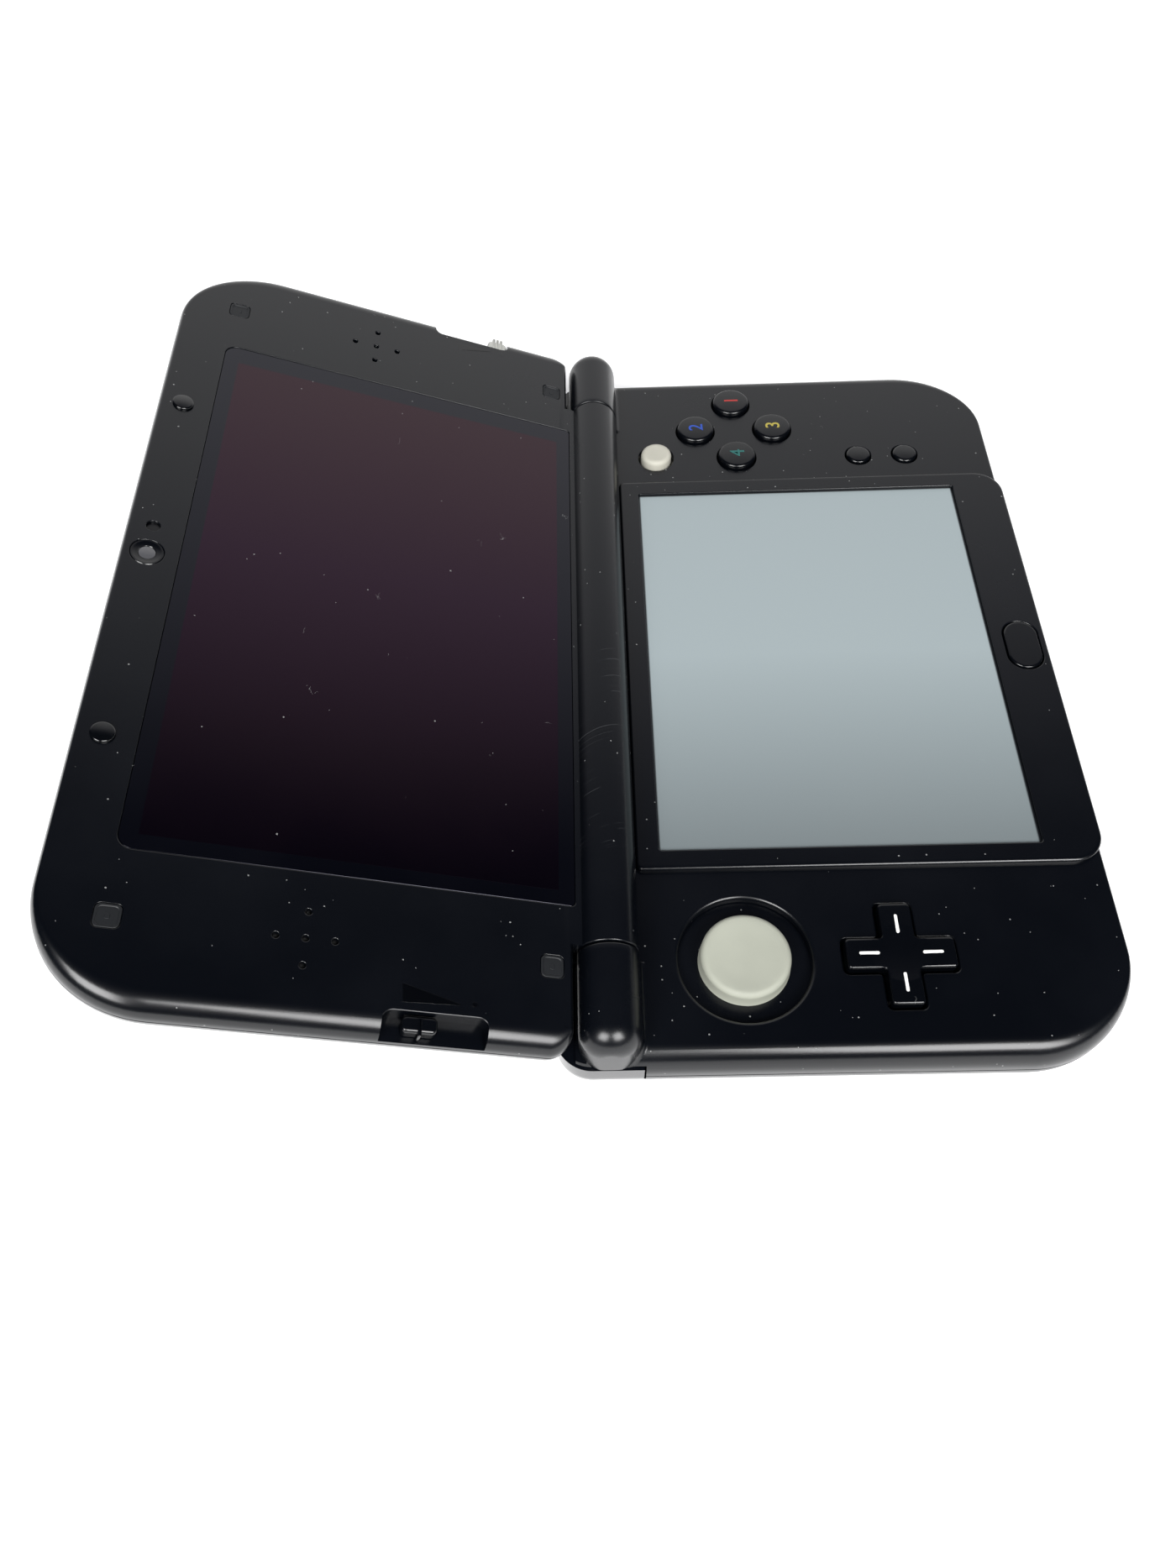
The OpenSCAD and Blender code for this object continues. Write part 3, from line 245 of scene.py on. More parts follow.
def finish(name, colour, rough, smeared=None, smear=0.05, tintWithPaintedLight=None, grain=0.15, grainScale=4000.0, dust=0.0,
           dustCells=380.0, dustSize=0.05, dustStrength=0.6, hairs=0.002, scuffs=0.0, metal=0.0, specular=0.5,
           specularTint=(1.0, 1.0, 1.0), coat=0.0):
    # one moulded, rubber or metal finish
    mat = bpy.data.materials.new(name)
    mat.use_nodes = True
    tree = mat.node_tree
    place = tree.nodes.new("ShaderNodeTexCoord").outputs["Object"]
    smudge = placeGroup(tree, "smudge", place)
    shade = mixColour(tree, smudge, colour, smeared or tuple(c * 1.3 + 0.0003 for c in colour))
    # the tint functions paint shade on the touch area and a reflection on the screen into the colour
    if tintWithPaintedLight:
        shade = tintWithPaintedLight(tree, place, shade)
    roughness = calc(tree, "MULTIPLY_ADD", smudge, smear, rough)
    if dust:
        specks = placeGroup(tree, "dust", place, Cells_per_metre=dustCells, Share=dust, Size=dustSize)
        specks = calc(tree, "MAXIMUM", specks, placeGroup(tree, "hair", place, Share=hairs))
        shade = mixColour(tree, product(tree, specks, dustStrength), shade, surface["dust"])
        roughness = calc(tree, "ADD", roughness, product(tree, specks, surface["dustRough"]))
    if scuffs:
        marks = product(tree, placeGroup(tree, "scuff", place), scuffs)
        shade = mixColour(tree, marks, shade, surface["scuff"])
    bump = tree.nodes.new("ShaderNodeBump")
    bump.inputs["Strength"].default_value = grain
    bump.inputs["Distance"].default_value = surface["grainDepth"]
    tree.links.new(placeGroup(tree, "grain", place, Scale=grainScale), bump.inputs["Height"])
    for label, value in (("Base Color", shade), ("Roughness", roughness), ("Normal", bump.outputs[0]),
                         ("Metallic", metal), ("Specular IOR Level", specular), ("Specular Tint", specularTint),
                         ("Coat Weight", coat), ("Coat Roughness", surface["coatRough"])):
        feed(tree, tree.nodes["Principled BSDF"].inputs[label], value)
    return mat


lidRise = radians(19)
axisHeight = 14.6
# the two picture areas, in millimetres; the lid's is in the lid's own frame
screen = {"x0": -53.1, "x1": 51.5, "y0": 8.61, "y1": 72.33, "rise": 0.004}
touch = {"x0": -42.48, "x1": 42.48, "y0": -73.9, "y1": -9.3, "soft": 0.3}


def boxMask(tree, place, area):
    # 1 inside a rectangle, falling to 0 over its soft edge
    x, y = axes(tree, place)[:2]
    soft = area["soft"] * mm
    sides = []
    for at, low, high in ((x, area["x0"] * mm, area["x1"] * mm), (y, area["y0"] * mm, area["y1"] * mm)):
        sides += [fade(tree, at, low, low + soft), fade(tree, at, high - soft, high, 1.0, 0.0)]
    return product(tree, *sides)


def touchTintAndPaintedShade(tree, place, shade):
    # the grey picture area inside a dark border, with painted shade that makes it a little darker toward the
    # near side
    along = fade(tree, axes(tree, place)[0], -0.043, 0.0)
    panel = mixColour(tree, along, (0.155, 0.18, 0.187), (0.318, 0.37, 0.383))
    return mixColour(tree, boxMask(tree, place, touch), shade, panel)


def screenPaintedReflection(tree, place, shade):
    # painted reflection of the room on the picture area, from the far side (high X) to the near side: brown,
    # then purple, then navy
    along = fade(tree, axes(tree, place)[0], 0.055, -0.055)
    return colourRamp(tree, along, [(0.0, (0.0024, 0.0005, 0.0007)), (0.45, (0.0016, 0.0004, 0.0055)),
                                    (0.8, (0.0003, 0.0003, 0.0016)), (1.0, (0.0001, 0.0001, 0.0008))])


glassDust = dict(grain=0.02, dust=0.06, dustCells=700.0, dustSize=0.1, hairs=0.004, dustStrength=0.4)
looks = {
    "case": dict(colour=(0.0009, 0.0014, 0.0026), rough=0.23, scuffs=0.12, dust=0.14, dustCells=850.0,
                 dustSize=0.1, hairs=0.001, dustStrength=0.45),
    "gloss": dict(colour=(0.0014, 0.002, 0.0034), rough=0.16, smear=0.06, grain=0.05, dust=0.04,
                  dustCells=600.0, coat=0.3, dustStrength=0.3),
    "cover": dict(colour=(0.003, 0.0035, 0.0045), rough=0.45, grain=0.5, grainScale=2500.0),
    "button": dict(colour=(0.0009, 0.0013, 0.0022), rough=0.2, smear=0.06, grain=0.08, dust=0.04,
                   dustCells=700.0, dustStrength=0.35),
    "pad_rubber": dict(colour=(0.32, 0.33, 0.275), rough=0.6, grain=0.2, grainScale=3000.0),
    "stick_rubber": dict(colour=(0.42, 0.41, 0.35), rough=0.58, grain=0.2, grainScale=3000.0),
    "rubber": dict(colour=(0.004, 0.005, 0.0065), rough=0.5, grain=0.3),
    "bumper": dict(colour=(0.0012, 0.0015, 0.002), rough=0.16, coat=0.3),
    # the touch glass's picture area carries painted shade, darker toward the near side
    "touch_glass": dict(colour=(0.006, 0.007, 0.009), rough=0.34, smear=0.1, grain=0.05, tintWithPaintedLight=touchTintAndPaintedShade,
                        dust=0.02, dustSize=0.04, dustStrength=0.15),
    "screen_glass": dict(colour=(0.0008, 0.0009, 0.0018), rough=0.12, smear=0.06, specular=0.45,
                         specularTint=(0.84, 0.84, 1.0), **glassDust),
    # the picture area's base colour is a painted reflection, brown to purple to navy
    "screenActive": dict(colour=(0.0003, 0.0003, 0.0012), tintWithPaintedLight=screenPaintedReflection, smeared=(0.0004, 0.0004, 0.0016),
                         rough=0.13, specular=0.56, specularTint=(1.0, 0.56, 0.72), **glassDust),
    "lens": dict(colour=(0.07, 0.07, 0.075), rough=0.12, coat=0.6, grain=0.02),
    "board": dict(colour=(0.01, 0.035, 0.02), rough=0.35, grainScale=1500.0),
    "steel": dict(colour=(0.55, 0.55, 0.55), rough=0.3, metal=1.0),
    "brass": dict(colour=(0.7, 0.52, 0.28), rough=0.3, metal=1.0),
}
# finishes that need only a colour and a roughness
plainLooks = {
    "slider": ((0.45, 0.45, 0.42), 0.45), "sensor": ((0.001, 0.001, 0.0014), 0.3),
    "light_pipe": ((0.55, 0.56, 0.55), 0.35), "display": ((0.1, 0.1, 0.11), 0.4),
    "inner_plastic": ((0.7, 0.7, 0.68), 0.45), "membrane": ((0.5, 0.5, 0.5), 0.6),
    "chips": ((0.02, 0.02, 0.02), 0.45), "battery": ((0.05, 0.05, 0.055), 0.45),
    "flex": ((0.6, 0.25, 0.05), 0.35), "whiteInk": ((0.8, 0.8, 0.78), 0.5),
    "redInk": ((0.36, 0.025, 0.022), 0.4), "blueInk": ((0.015, 0.06, 0.36), 0.4),
    "yellowInk": ((0.36, 0.30, 0.05), 0.4), "greenInk": ((0.012, 0.11, 0.10), 0.4),
    "darkInk": ((0.0008, 0.001, 0.0014), 0.12)}
materials = {name: finish(name, **look) for name, look in looks.items()}
materials.update({name: finish(name, *look) for name, look in plainLooks.items()})
slotOf = {part["node"]: part["material_slot"] for part in record["subparts"]}
for name, obj in frame["nodes"].items():
    obj.data.materials.clear()
    obj.data.materials.append(materials[slotOf[name]])
print("materials made")


# mesh tools, all in millimetres; a solid is its points and its faces, a path its points and outward normals
def skin(rings):
    # quads between equal rings of points, first and last ring closed by one face each
    rings = np.asarray(rings, float)
    k, n = rings.shape[:2]
    a = (np.arange(k - 1)[:, None] * n + np.arange(n)[None, :]).ravel()
    b = (np.arange(k - 1)[:, None] * n + (np.arange(n)[None, :] + 1) % n).ravel()
    faces = np.c_[a, b, b + n, a + n].tolist()
    faces += [list(range(n - 1, -1, -1)), list(range((k - 1) * n, k * n))]
    return rings.reshape(-1, 3), faces


def turnAngles(steps):
    # a full turn in equal steps, without the last one
    return np.arange(steps) * 2 * pi / steps


def quarter(steps):
    # angles from 0 to 90 degrees
    return np.linspace(0, pi / 2, steps + 1)


def lathe(profile, steps=96, centre=(0, 0)):
    # a profile of (radius, height) turned about Z; it starts and ends on the axis
    profile = np.asarray(profile, float)
    t = turnAngles(steps)
    return skin(np.stack([profile[:, None, 0] * np.cos(t) + centre[0],
                          profile[:, None, 0] * np.sin(t) + centre[1],
                          np.repeat(profile[:, None, 1], steps, 1)], -1))


def roundOver(r, top, edge, steps):
    # the part of a lathe profile that turns a side of radius r into a flat top
    return [(r - edge + edge * cos(t), top - edge + edge * sin(t)) for t in quarter(steps)]


def joined(*parts):
    # several solids as one
    verts, faces, at = [], [], 0
    for v, f in parts:
        verts.append(np.asarray(v, float))
        faces += [[i + at for i in face] for face in f]
        at += len(v)
    return np.vstack(verts), faces


def flat(loop, z):
    # a closed line of points at one height
    loop = np.asarray(loop, float)
    return np.c_[loop, np.full(len(loop), z)]


def outline(w, y0, y1, r0, r1, ix=0.0, iy=0.0, steps=20):
    # rounded rectangle drawn in by ix at the sides and iy at the ends, r0 at y0 and r1 at y1
    a = quarter(steps)
    parts = []
    for cx, cy, r, turn in ((w / 2 - r1, y1 - r1, r1, 0), (-w / 2 + r1, y1 - r1, r1, 1),
                            (-w / 2 + r0, y0 + r0, r0, 2), (w / 2 - r0, y0 + r0, r0, 3)):
        t = a + turn * pi / 2
        parts.append(np.c_[cx + (r - ix) * np.cos(t), cy + (r - iy) * np.sin(t)])
    return np.vstack(parts)


def roundedPath(corners, radii, steps=6):
    # a polygon, counterclockwise, with an arc at each corner
    corners = np.asarray(corners, float)
    radii = np.broadcast_to(radii, len(corners))
    points, normals = [], []
    for i, p in enumerate(corners):
        d0 = p - corners[i - 1]
        d1 = corners[(i + 1) % len(corners)] - p
        d0, d1 = d0 / np.hypot(*d0), d1 / np.hypot(*d1)
        turn = atan2(d0[0] * d1[1] - d0[1] * d1[0], d0 @ d1)
        sign, r = copysign(1, turn), radii[i]
        start = p - d0 * r * tan(abs(turn) / 2)
        centre = start + sign * r * np.array([-d0[1], d0[0]])
        a = turn * np.linspace(0, 1, steps + 1)
        arm = start - centre
        arc = np.c_[arm[0] * np.cos(a) - arm[1] * np.sin(a), arm[0] * np.sin(a) + arm[1] * np.cos(a)]
        points.append(arc + centre)
        normals.append(sign * arc / r)
    return np.vstack(points), np.vstack(normals)


def circlePath(x, y, r, steps=72):
    # centre plus r times (cos t, sin t)
    t = turnAngles(steps)
    n = np.c_[np.cos(t), np.sin(t)]
    return n * r + (x, y), n


def rectPath(x0, y0, x1, y1, r, steps=6):
    # a rectangle with rounded corners
    return roundedPath([(x0, y0), (x1, y0), (x1, y1), (x0, y1)], r, steps)


def centredRect(x, y, halfX, halfY, r, steps=6):
    # the same, from its centre and half its sides
    return rectPath(x - halfX, y - halfY, x + halfX, y + halfY, r, steps)


def stadiumPath(x, y, l, w):
    # a rectangle with half round ends
    return centredRect(x, y, l / 2, w / 2, w / 2 - 1e-4, 20)


def crossPath(x, y, w, arm, outer, inner, steps=5):
    # a plus sign of span w and arm width arm, with its outer and inner corner radii
    a, b = arm / 2, w / 2
    corners = [(a, -b), (a, -a), (b, -a), (b, a), (a, a), (a, b), (-a, b), (-a, a), (-b, a), (-b, -a),
               (-a, -a), (-a, -b)]
    points, normals = roundedPath(corners, [outer, inner, outer] * 4, steps)
    return points + (x, y), normals


def loft(path, levels):
    # the path moved out along its normals by each level's offset, at the level's height
    points, normals = path
    return skin([flat(points + normals * out, z) for out, z in levels])


def loftY(path, levels):
    # the same for a path that stands in x and z, with each level's place on y
    points, normals = path
    return skin([np.insert(points + normals * out, 1, y, axis=1) for out, y in levels])


def opening(path, top, depth, lip=0.2):
    # a cutter whose mouth flares by the lip's radius, so that the edge it leaves is rounded
    flare = [(-out, z) for out, z in roundOver(0, top, lip, 6)[:-1]]
    return loft(path, [(0, top - depth)] + flare + [(lip, top + 0.002), (lip, top + 1.0)])


def boss(path, bottom, top, edge=0.3):
    # an upright solid with a rounded top edge
    return loft(path, [(0, bottom)] + roundOver(0, top, edge, 6) + [(-edge - 0.12, top)])


def extrudeX(profile, x0, x1):
    # a profile of (y, z) carried from x0 to x1
    profile = np.asarray(profile, float)
    return skin([np.c_[np.full(len(profile), x), profile] for x in (x0, x1)])


def box(x0, y0, z0, x1, y1, z1):
    # a plain block between two corners
    return extrudeX([(y0, z0), (y1, z0), (y1, z1), (y0, z1)], x0, x1)


def rod(axis, centre, r, start, end, steps=64):
    # a cylinder along "x", "y" or "z" between two places
    t = turnAngles(steps)
    a, b = np.cos(t) * r + centre[0], np.sin(t) * r + centre[1]
    rings = []
    for s in (start, end):
        c = np.full(steps, s)
        rings.append(np.column_stack({"x": (c, a, b), "y": (a, c, b), "z": (a, b, c)}[axis]))
    return skin(rings)


def mirrorX(part):
    # the same solid on the other side, its faces turned outward again
    v, f = part
    return np.asarray(v) * (-1, 1, 1), [face[::-1] for face in f]


def twice(*parts):
    # each solid and then its mirror image
    return [one for part in parts for one in (part, mirrorX(part))]


def toObject(name, part):
    # a solid becomes a mesh in metres, with its doubles merged and its faces outward
    verts, faces = part
    mesh = bpy.data.meshes.new(name)
    mesh.from_pydata((np.asarray(verts) * mm).tolist(), [], faces)
    mesh.validate()
    bm = bmesh.new()
    bm.from_mesh(mesh)
    bmesh.ops.remove_doubles(bm, verts=bm.verts, dist=1e-7)
    bmesh.ops.recalc_face_normals(bm, faces=bm.faces)
    bm.to_mesh(mesh)
    bm.free()
    return addObject(name, mesh)


def flipped(obj):
    # an object moved to the other side, its faces turned outward again
    obj.data.transform(Matrix.Scale(-1, 4, (1, 0, 0)))
    obj.data.flip_normals()
    return obj


def evaluated(obj):
    # the mesh that an object gives with its modifiers
    return bpy.data.meshes.new_from_object(obj.evaluated_get(bpy.context.evaluated_depsgraph_get()))


def bake(obj):
    # the modifiers become the mesh
    mesh, old = evaluated(obj), obj.data
    obj.modifiers.clear()
    obj.data = mesh
    mesh.name = obj.name
    bpy.data.meshes.remove(old)


def combine(obj, *parts, how="DIFFERENCE"):
    # cuts, adds or keeps solids one after another by Blender's manifold boolean
    for part in parts:
        tool = part if isinstance(part, bpy.types.Object) else toObject("tool", part)
        step = obj.modifiers.new("solid", "BOOLEAN")
        step.operation, step.solver, step.object = how, "MANIFOLD", tool
        bake(obj)
        bpy.data.objects.remove(tool)


lidMatrix = Matrix.Translation((0, 0, axisHeight * mm)) @ Matrix.Rotation(lidRise, 4, "X")


def settle(obj, body, material, replaced=None, smooth=32):
    # the last steps of every piece: place, finish, smoothing, body, slot, and hiding the node it stands for
    if body in ("lid", "volume_knob", "depth_knob"):
        obj.data.transform(lidMatrix)
    obj.data.materials.clear()
    obj.data.materials.append(materials[material])
    obj.data.shade_smooth()
    obj.data.set_sharp_from_angle(angle=radians(smooth))
    flatten = obj.modifiers.new("normals", "WEIGHTED_NORMAL")  # large flats stay flat beside rounded edges
    flatten.keep_sharp = True
    flatten.weight = 80
    bake(obj)
    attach(obj, body)
    if replaced:
        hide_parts(replaced)


# the base
case = {"width": 160.0, "front": -84.5, "rear": 8.8, "face": 11.3, "split": 5.6, "frontR": 18.0, "rearR": 6.0,
        "sideRound": 3.6, "endRound": 1.1, "upperRound": 4.7, "lowerRound": 5.4, "lip": 9.6, "ceiling": 9.9,
        "sideWall": 2.2, "cavityRear": -6.9, "floor": 1.7, "seam": 0.14, "steps": 14}
panel = {"width": 92.6, "front": -84.3, "rear": -5.1, "frontR": 5.5, "rearR": 1.2, "foot": 8.5, "top": 12.3,
         "edge": 0.6}
hinge = {"r": 5.0, "half": 62.4, "gap": 0.3, "trough": 5.5, "endR": 4.0, "cove": 1.3, "bore": 3.0}
shoulder = {"x": 54.0, "front": -5.3, "t": 3.0, "low": 2.6, "high": 8.8, "gap": 0.3, "swing": 0.3,
            "press": 0.9, "lipEnd": 5.5, "pin": (77.95, 1.5), "pinR": 0.65}
trigger = {"x": 45.5, "half": 6.0, "low": 3.8, "high": 7.4, "gap": 0.3}
power = (46, 5.6, 9, 2.6)
cover = {"width": 140, "front": -78, "rear": 3, "frontR": 8, "rearR": 8, "gap": 0.05, "edge": 0.25, "t": 1.2,
         "screws": (52, -73.5), "head": 1.95, "hole": 1.0}


def drawnIn(form, ix, iy, steps=20):
    # a form's outline drawn in by ix at its sides and iy at its ends
    return outline(form["width"], form["front"], form["rear"], form["frontR"], form["rearR"], ix, iy, steps)


def ring(form, inset, z, extra=0.0):
    # that outline at one height; inset 0 is the widest line, 1 the edge of the flat face
    return flat(drawnIn(form, case["sideRound"] * inset + extra, case["endRound"] * inset + extra), z)


def roundedRings(form, face, way, edge):
    # from the flat face over a quarter ellipse: in by 1 - sin t while the height changes by 1 - cos t
    return [ring(form, 1 - sin(t), face + way * edge * (1 - cos(t))) for t in quarter(case["steps"])]


def shellSolid(name, form, face, edge):
    # one half of the case or the lid, from its flat face to the seam, where it's drawn in a little
    way = 1 if form["split"] > face else -1
    rings = [ring(form, 1, face, 0.8), ring(form, 1, face, 0.15)] + roundedRings(form, face, way, edge)
    rings += [ring(form, 0, form["split"] - way * case["seam"]), ring(form, 0, form["split"], case["seam"])]
    return toObject(name, skin(rings[::way]))


def rearRound(x0, x1):
    # cutter that rounds the rear edge's top: an arc of the shoulder's thickness plus its gap
    r = shoulder["t"] + shoulder["gap"]
    y, z = case["rear"], case["lip"]
    a = quarter(12)
    arc = np.c_[y - r + r * np.sin(a), z - r + r * np.cos(a)]
    return extrudeX(np.vstack([arc, [(y + 1, z - r), (y + 1, 20), (y - r, 20)]]), x0, x1)


def endBarrel():
    # sections across the hinge end: upright sides, half round top, a cove at the foot, and a domed outer end
    x0, x1 = hinge["half"] + hinge["gap"], case["width"] / 2 - 0.02
    r, endR, edge = hinge["r"], hinge["endR"], 0.3
    u = np.concatenate([x0 + edge * (1 - np.cos(quarter(5))), np.linspace(x0 + 1.2, x1 - endR - 0.4, 6),
                        x1 - endR + endR * np.sin(quarter(16))])
    near = np.clip((u - x0) / edge, 0, 1)
    far = np.clip((u - (x1 - endR)) / endR, 0, 1)
    w = r - edge * (1 - np.sqrt(1 - (1 - near) ** 2)) - endR * (1 - np.sqrt(np.clip(1 - far ** 2, 0, 1)))
    inset = np.clip((x1 - u) / case["sideRound"], 0, 1)
    fall = 1 - np.sqrt(np.clip(1 - (1 - inset) ** 2, 0, 1))
    foot = case["face"] - 0.05 - case["upperRound"] * fall
    half = np.linspace(0, pi, 33)
    coveA = quarter(5)[::-1]
    bottom = 5.8  # inside the shell
    sections = []
    for x, wide, z0 in zip(u, w, foot):
        c = min(hinge["cove"], (axisHeight - z0) * 0.4)
        side = np.c_[-wide - c * (1 - np.cos(coveA)), z0 + c * (1 - np.sin(coveA))]
        top = np.c_[-wide * np.cos(half), axisHeight + wide * np.sin(half)]
        loop = np.vstack([[(-wide - c, bottom)], side, top, [(wide, z0 - 1.0), (wide, bottom)]])
        sections.append(np.c_[np.full(len(loop), x), loop])
    return skin(sections)


def shoulderPocket():
    # room for a shoulder button: a block at the corner, outside the outline drawn in by its thickness
    s, gap = shoulder, shoulder["gap"]
    clear = s["t"] + s["press"] + gap
    tool = toObject("pocket", box(s["x"] - gap - s["swing"], s["front"] - gap, s["low"] - gap,
                                  case["width"] / 2 + 2, case["rear"] + 2, s["high"] + gap))
    combine(tool, skin([flat(drawnIn(case, clear, clear), z) for z in (0, 20)]))
    return tool


def cutWalls(shell):
    # the openings of the front and rear walls, and the two pockets, shared by both shells
    front, rear, t = (-86, -79), 12, trigger
    gameCard = box(-44.3, front[0], 2.3, -9.7, front[1], 6.6)
    phones, stylus = rod("y", (0, 4.7), 2.95, *front), rod("y", (30, 4.3), 2.4, *front)
    charging, infrared = box(-22.8, -1, 2.7, -13.2, rear, 6.1), box(8, 7.4, 3.0, 20, rear, 6.8)
    slots = [loftY(stadiumPath(x, case["split"], l, h), [(0, y) for y in front])
             for x, l, h in ((power[0], power[2] + 0.5, power[3] + 0.5), (56, 2.6, 1.2), (60.4, 2.6, 1.2))]
    triggers = [box(x - t["half"] - t["gap"], -1, t["low"] - t["gap"], x + t["half"] + t["gap"], rear,
                    t["high"] + t["gap"]) for x in (t["x"], -t["x"])]
    combine(shell, gameCard, phones, stylus, charging, infrared, *slots, *triggers, shoulderPocket(),
            flipped(shoulderPocket()))


def deepCavity(z0, z1, rearLow, rearTop):
    # the room inside the base, in two solids
    wall, back = case["sideWall"], case["sideWall"] + case["endRound"]
    loop = outline(case["width"], case["front"], case["cavityRear"] + back, case["frontR"], 3.5, wall, back)
    return (skin([flat(loop, z) for z in (z0, z1)]),
            box(-74.5, case["cavityRear"] - 0.7, rearLow, 74.5, 3.3, rearTop))


# places and sizes of the openings in the button face: x, y, then the sizes
controls = {"diamond": (62.2, -30.6), "pitch": 8.3, "button": 7.8, "gap": 0.25, "menu": (53.4, -56.4, 9.8, 5.0),
            "stick": (54.3, -13.4, 6.4, 0.5), "slide": (-62.4, -22.2, 21.7),
            "dpad": (-62.4, -47.1, 17.6, 5.3, 0.45), "home": (0.0, -79.7, 11.3, 6.7),
            "window": (85.2, 65.0, -9.16), "depth": 3.2}
diamond = [(1, 0), (0, 1), (0, -1), (-1, 0)]
x, y = controls["diamond"]
buttonSpots = [(x + controls["pitch"] * dx, y + controls["pitch"] * dy) for dx, dy in diamond]


def faceCutters():
    # the openings in the button face and in the touch panel
    c = controls
    mouths = [(circlePath(*spot, c["button"] / 2 + c["gap"]), 0.22) for spot in buttonSpots]
    x, y, pitch, d = c["menu"]
    mouths += [(circlePath(x, y - k * pitch, d / 2 + c["gap"]), 0.2) for k in range(2)]
    x, y, d, gap = c["stick"]
    mouths.append((circlePath(x, y, d / 2 + gap), 0.25))
    x, y, d = c["slide"]
    mouths.append((circlePath(x, y, d / 2, 120), 0.7))
    x, y, w, arm, gap = c["dpad"]
    mouths.append((crossPath(x, y, w + 2 * gap, arm + 2 * gap, 0.9, 0.6), 0.35))
    parts = [opening(path, case["face"], c["depth"], lip) for path, lip in mouths]
    x, y, l, w = c["home"]
    parts.append(opening(stadiumPath(x, y, l + 0.2, w), panel["top"], 4.2, 0.25))
    w, l, rear = c["window"]
    parts.append(opening(rectPath(-w / 2, rear - l, w / 2, rear, 0.6, 5), panel["top"], 3.6))
    return parts


def makeBaseUpper():
    # the raised panel and the hinge's ends are added; the lip, the trough and the room inside are cut
    c, p, edge, lip = case, panel, panel["edge"], case["lip"]
    shell = shellSolid("base_top", c, c["face"], c["upperRound"])
    levels = [(0, p["foot"])] + [(-out, z) for out, z in roundOver(0, p["top"], edge, 7)]
    levels.append((edge + 0.3, p["top"]))
    combine(shell, skin([flat(drawnIn(p, i, i, 12), z) for i, z in levels]), how="UNION")
    # the trough's arc ends where it meets the lip's height
    r, drop = hinge["trough"], axisHeight - lip
    t = np.linspace(pi, 2 * pi - acos(sqrt(r * r - drop * drop) / r), 40)
    arc = np.c_[r * np.cos(t), axisHeight + r * np.sin(t)]
    end = hinge["half"] + hinge["gap"] + 0.02
    combine(shell, extrudeX([(3.8, lip), (12, lip), (12, 20), (3.8, 20)], -90, 90), rearRound(-91, 91),
            joined(*twice(box(shoulder["x"] - 0.6, shoulder["lipEnd"], shoulder["high"], 92, 13, 21))),
            extrudeX(np.vstack([[(-r, 22)], arc, [(14, lip - 0.01), (14, 22)]]), -end, end))
    combine(shell, joined(*twice(endBarrel())), how="UNION")
    w, l, y = controls["window"]
    rim = 1.45
    combine(shell, *deepCavity(c["split"] - 1, c["ceiling"], c["split"] - 0.99, lip - 2.1),
            box(-w / 2 - rim, y - l - rim, c["ceiling"] - 1, w / 2 + rim, y + rim, 11.7), *faceCutters())
    cutWalls(shell)
    settle(shell, "base", "case", "base_upper_shell")


def makeBaseLower():
    # the lower shell with the seat of its cover, the room inside and the battery's well
    c = case
    shell = shellSolid("base_bottom", c, 0, c["lowerRound"])
    gap = cover["gap"]
    seat = outline(cover["width"] + 2 * gap, cover["front"] - gap, cover["rear"] + gap, cover["frontR"],
                   cover["rearR"])
    batteryWell = box(-44.3, -44.3, 0.5, 16.3, -7.7, 3)
    combine(shell, skin([flat(seat, z) for z in (-1, cover["t"])]),
            *deepCavity(c["floor"], c["split"] + 1, c["floor"] + 0.001, c["split"] + 1.01), batteryWell)
    cutWalls(shell)
    settle(shell, "base", "case", "base_lower_shell")


def makeCover():
    # the cover under the base: an eased edge and the recesses of its two screws
    edge, (x, y) = cover["edge"], cover["screws"]
    levels = [(edge + 0.3, 0.0)] + [(edge * (1 - sin(t)), edge * (1 - cos(t))) for t in quarter(4)]
    levels.append((0, cover["t"]))
    piece = toObject("bottom_cover", skin([flat(drawnIn(cover, i, i, 12), z) for i, z in levels]))
    for s in (x, -x):
        combine(piece, rod("z", (s, y), cover["head"], -1, 0.8), rod("z", (s, y), cover["hole"], -1, 2))
    settle(piece, "base", "cover", "back_cover")


def makeShoulder(side):
    # a slice of the case's own rounded corner, so that it lies flush when it rests
    s = shoulder
    name = side + "_shoulder"
    rings = [ring(case, 1, 0, 0.5)] + roundedRings(case, 0, 1, case["lowerRound"]) + [ring(case, 0, axisHeight)]
    piece = toObject(name, skin(rings))
    combine(piece, box(s["x"], s["front"], s["low"], 82, 12, s["high"]), how="INTERSECT")
    combine(piece, skin([flat(drawnIn(case, s["t"], s["t"]), z) for z in (-1, 20)]), rearRound(0, 91),
            rod("z", s["pin"], s["pinR"], -1, 20, 32))
    edges = piece.modifiers.new("edges", "BEVEL")
    edges.width, edges.segments = 0.3 * mm, 3
    edges.limit_method, edges.angle_limit = "ANGLE", radians(40)
    bake(piece)
    settle(flipped(piece) if side == "left" else piece, name + "_button", "gloss", name + "_button")


def makeTrigger(side):
    # a rounded cap set in the rear wall, with its flange inside
    t = trigger
    x = t["x"] if side == "right" else -t["x"]
    path = rectPath(x - t["half"], t["low"], x + t["half"], t["high"], 0.8)
    piece = toObject(side + "_trigger_piece", loftY(path, [(0.0, 2.0), (0.0, 8.6), (-0.12, 8.95), (-0.3, 9.12),
                                                           (-0.6, 9.2), (-0.9, 9.2)]))
    combine(piece, box(x - 7, 2.0, 3.2, x + 7, 3.0, 7.2), how="UNION")
    settle(piece, side + "_trigger", "gloss", side + "_trigger")


makeBaseUpper()
print("base top made")
makeBaseLower()
makeCover()
for side in ("left", "right"):
    makeShoulder(side)
    makeTrigger(side)
print("base bottom, cover, shoulder buttons and triggers made")

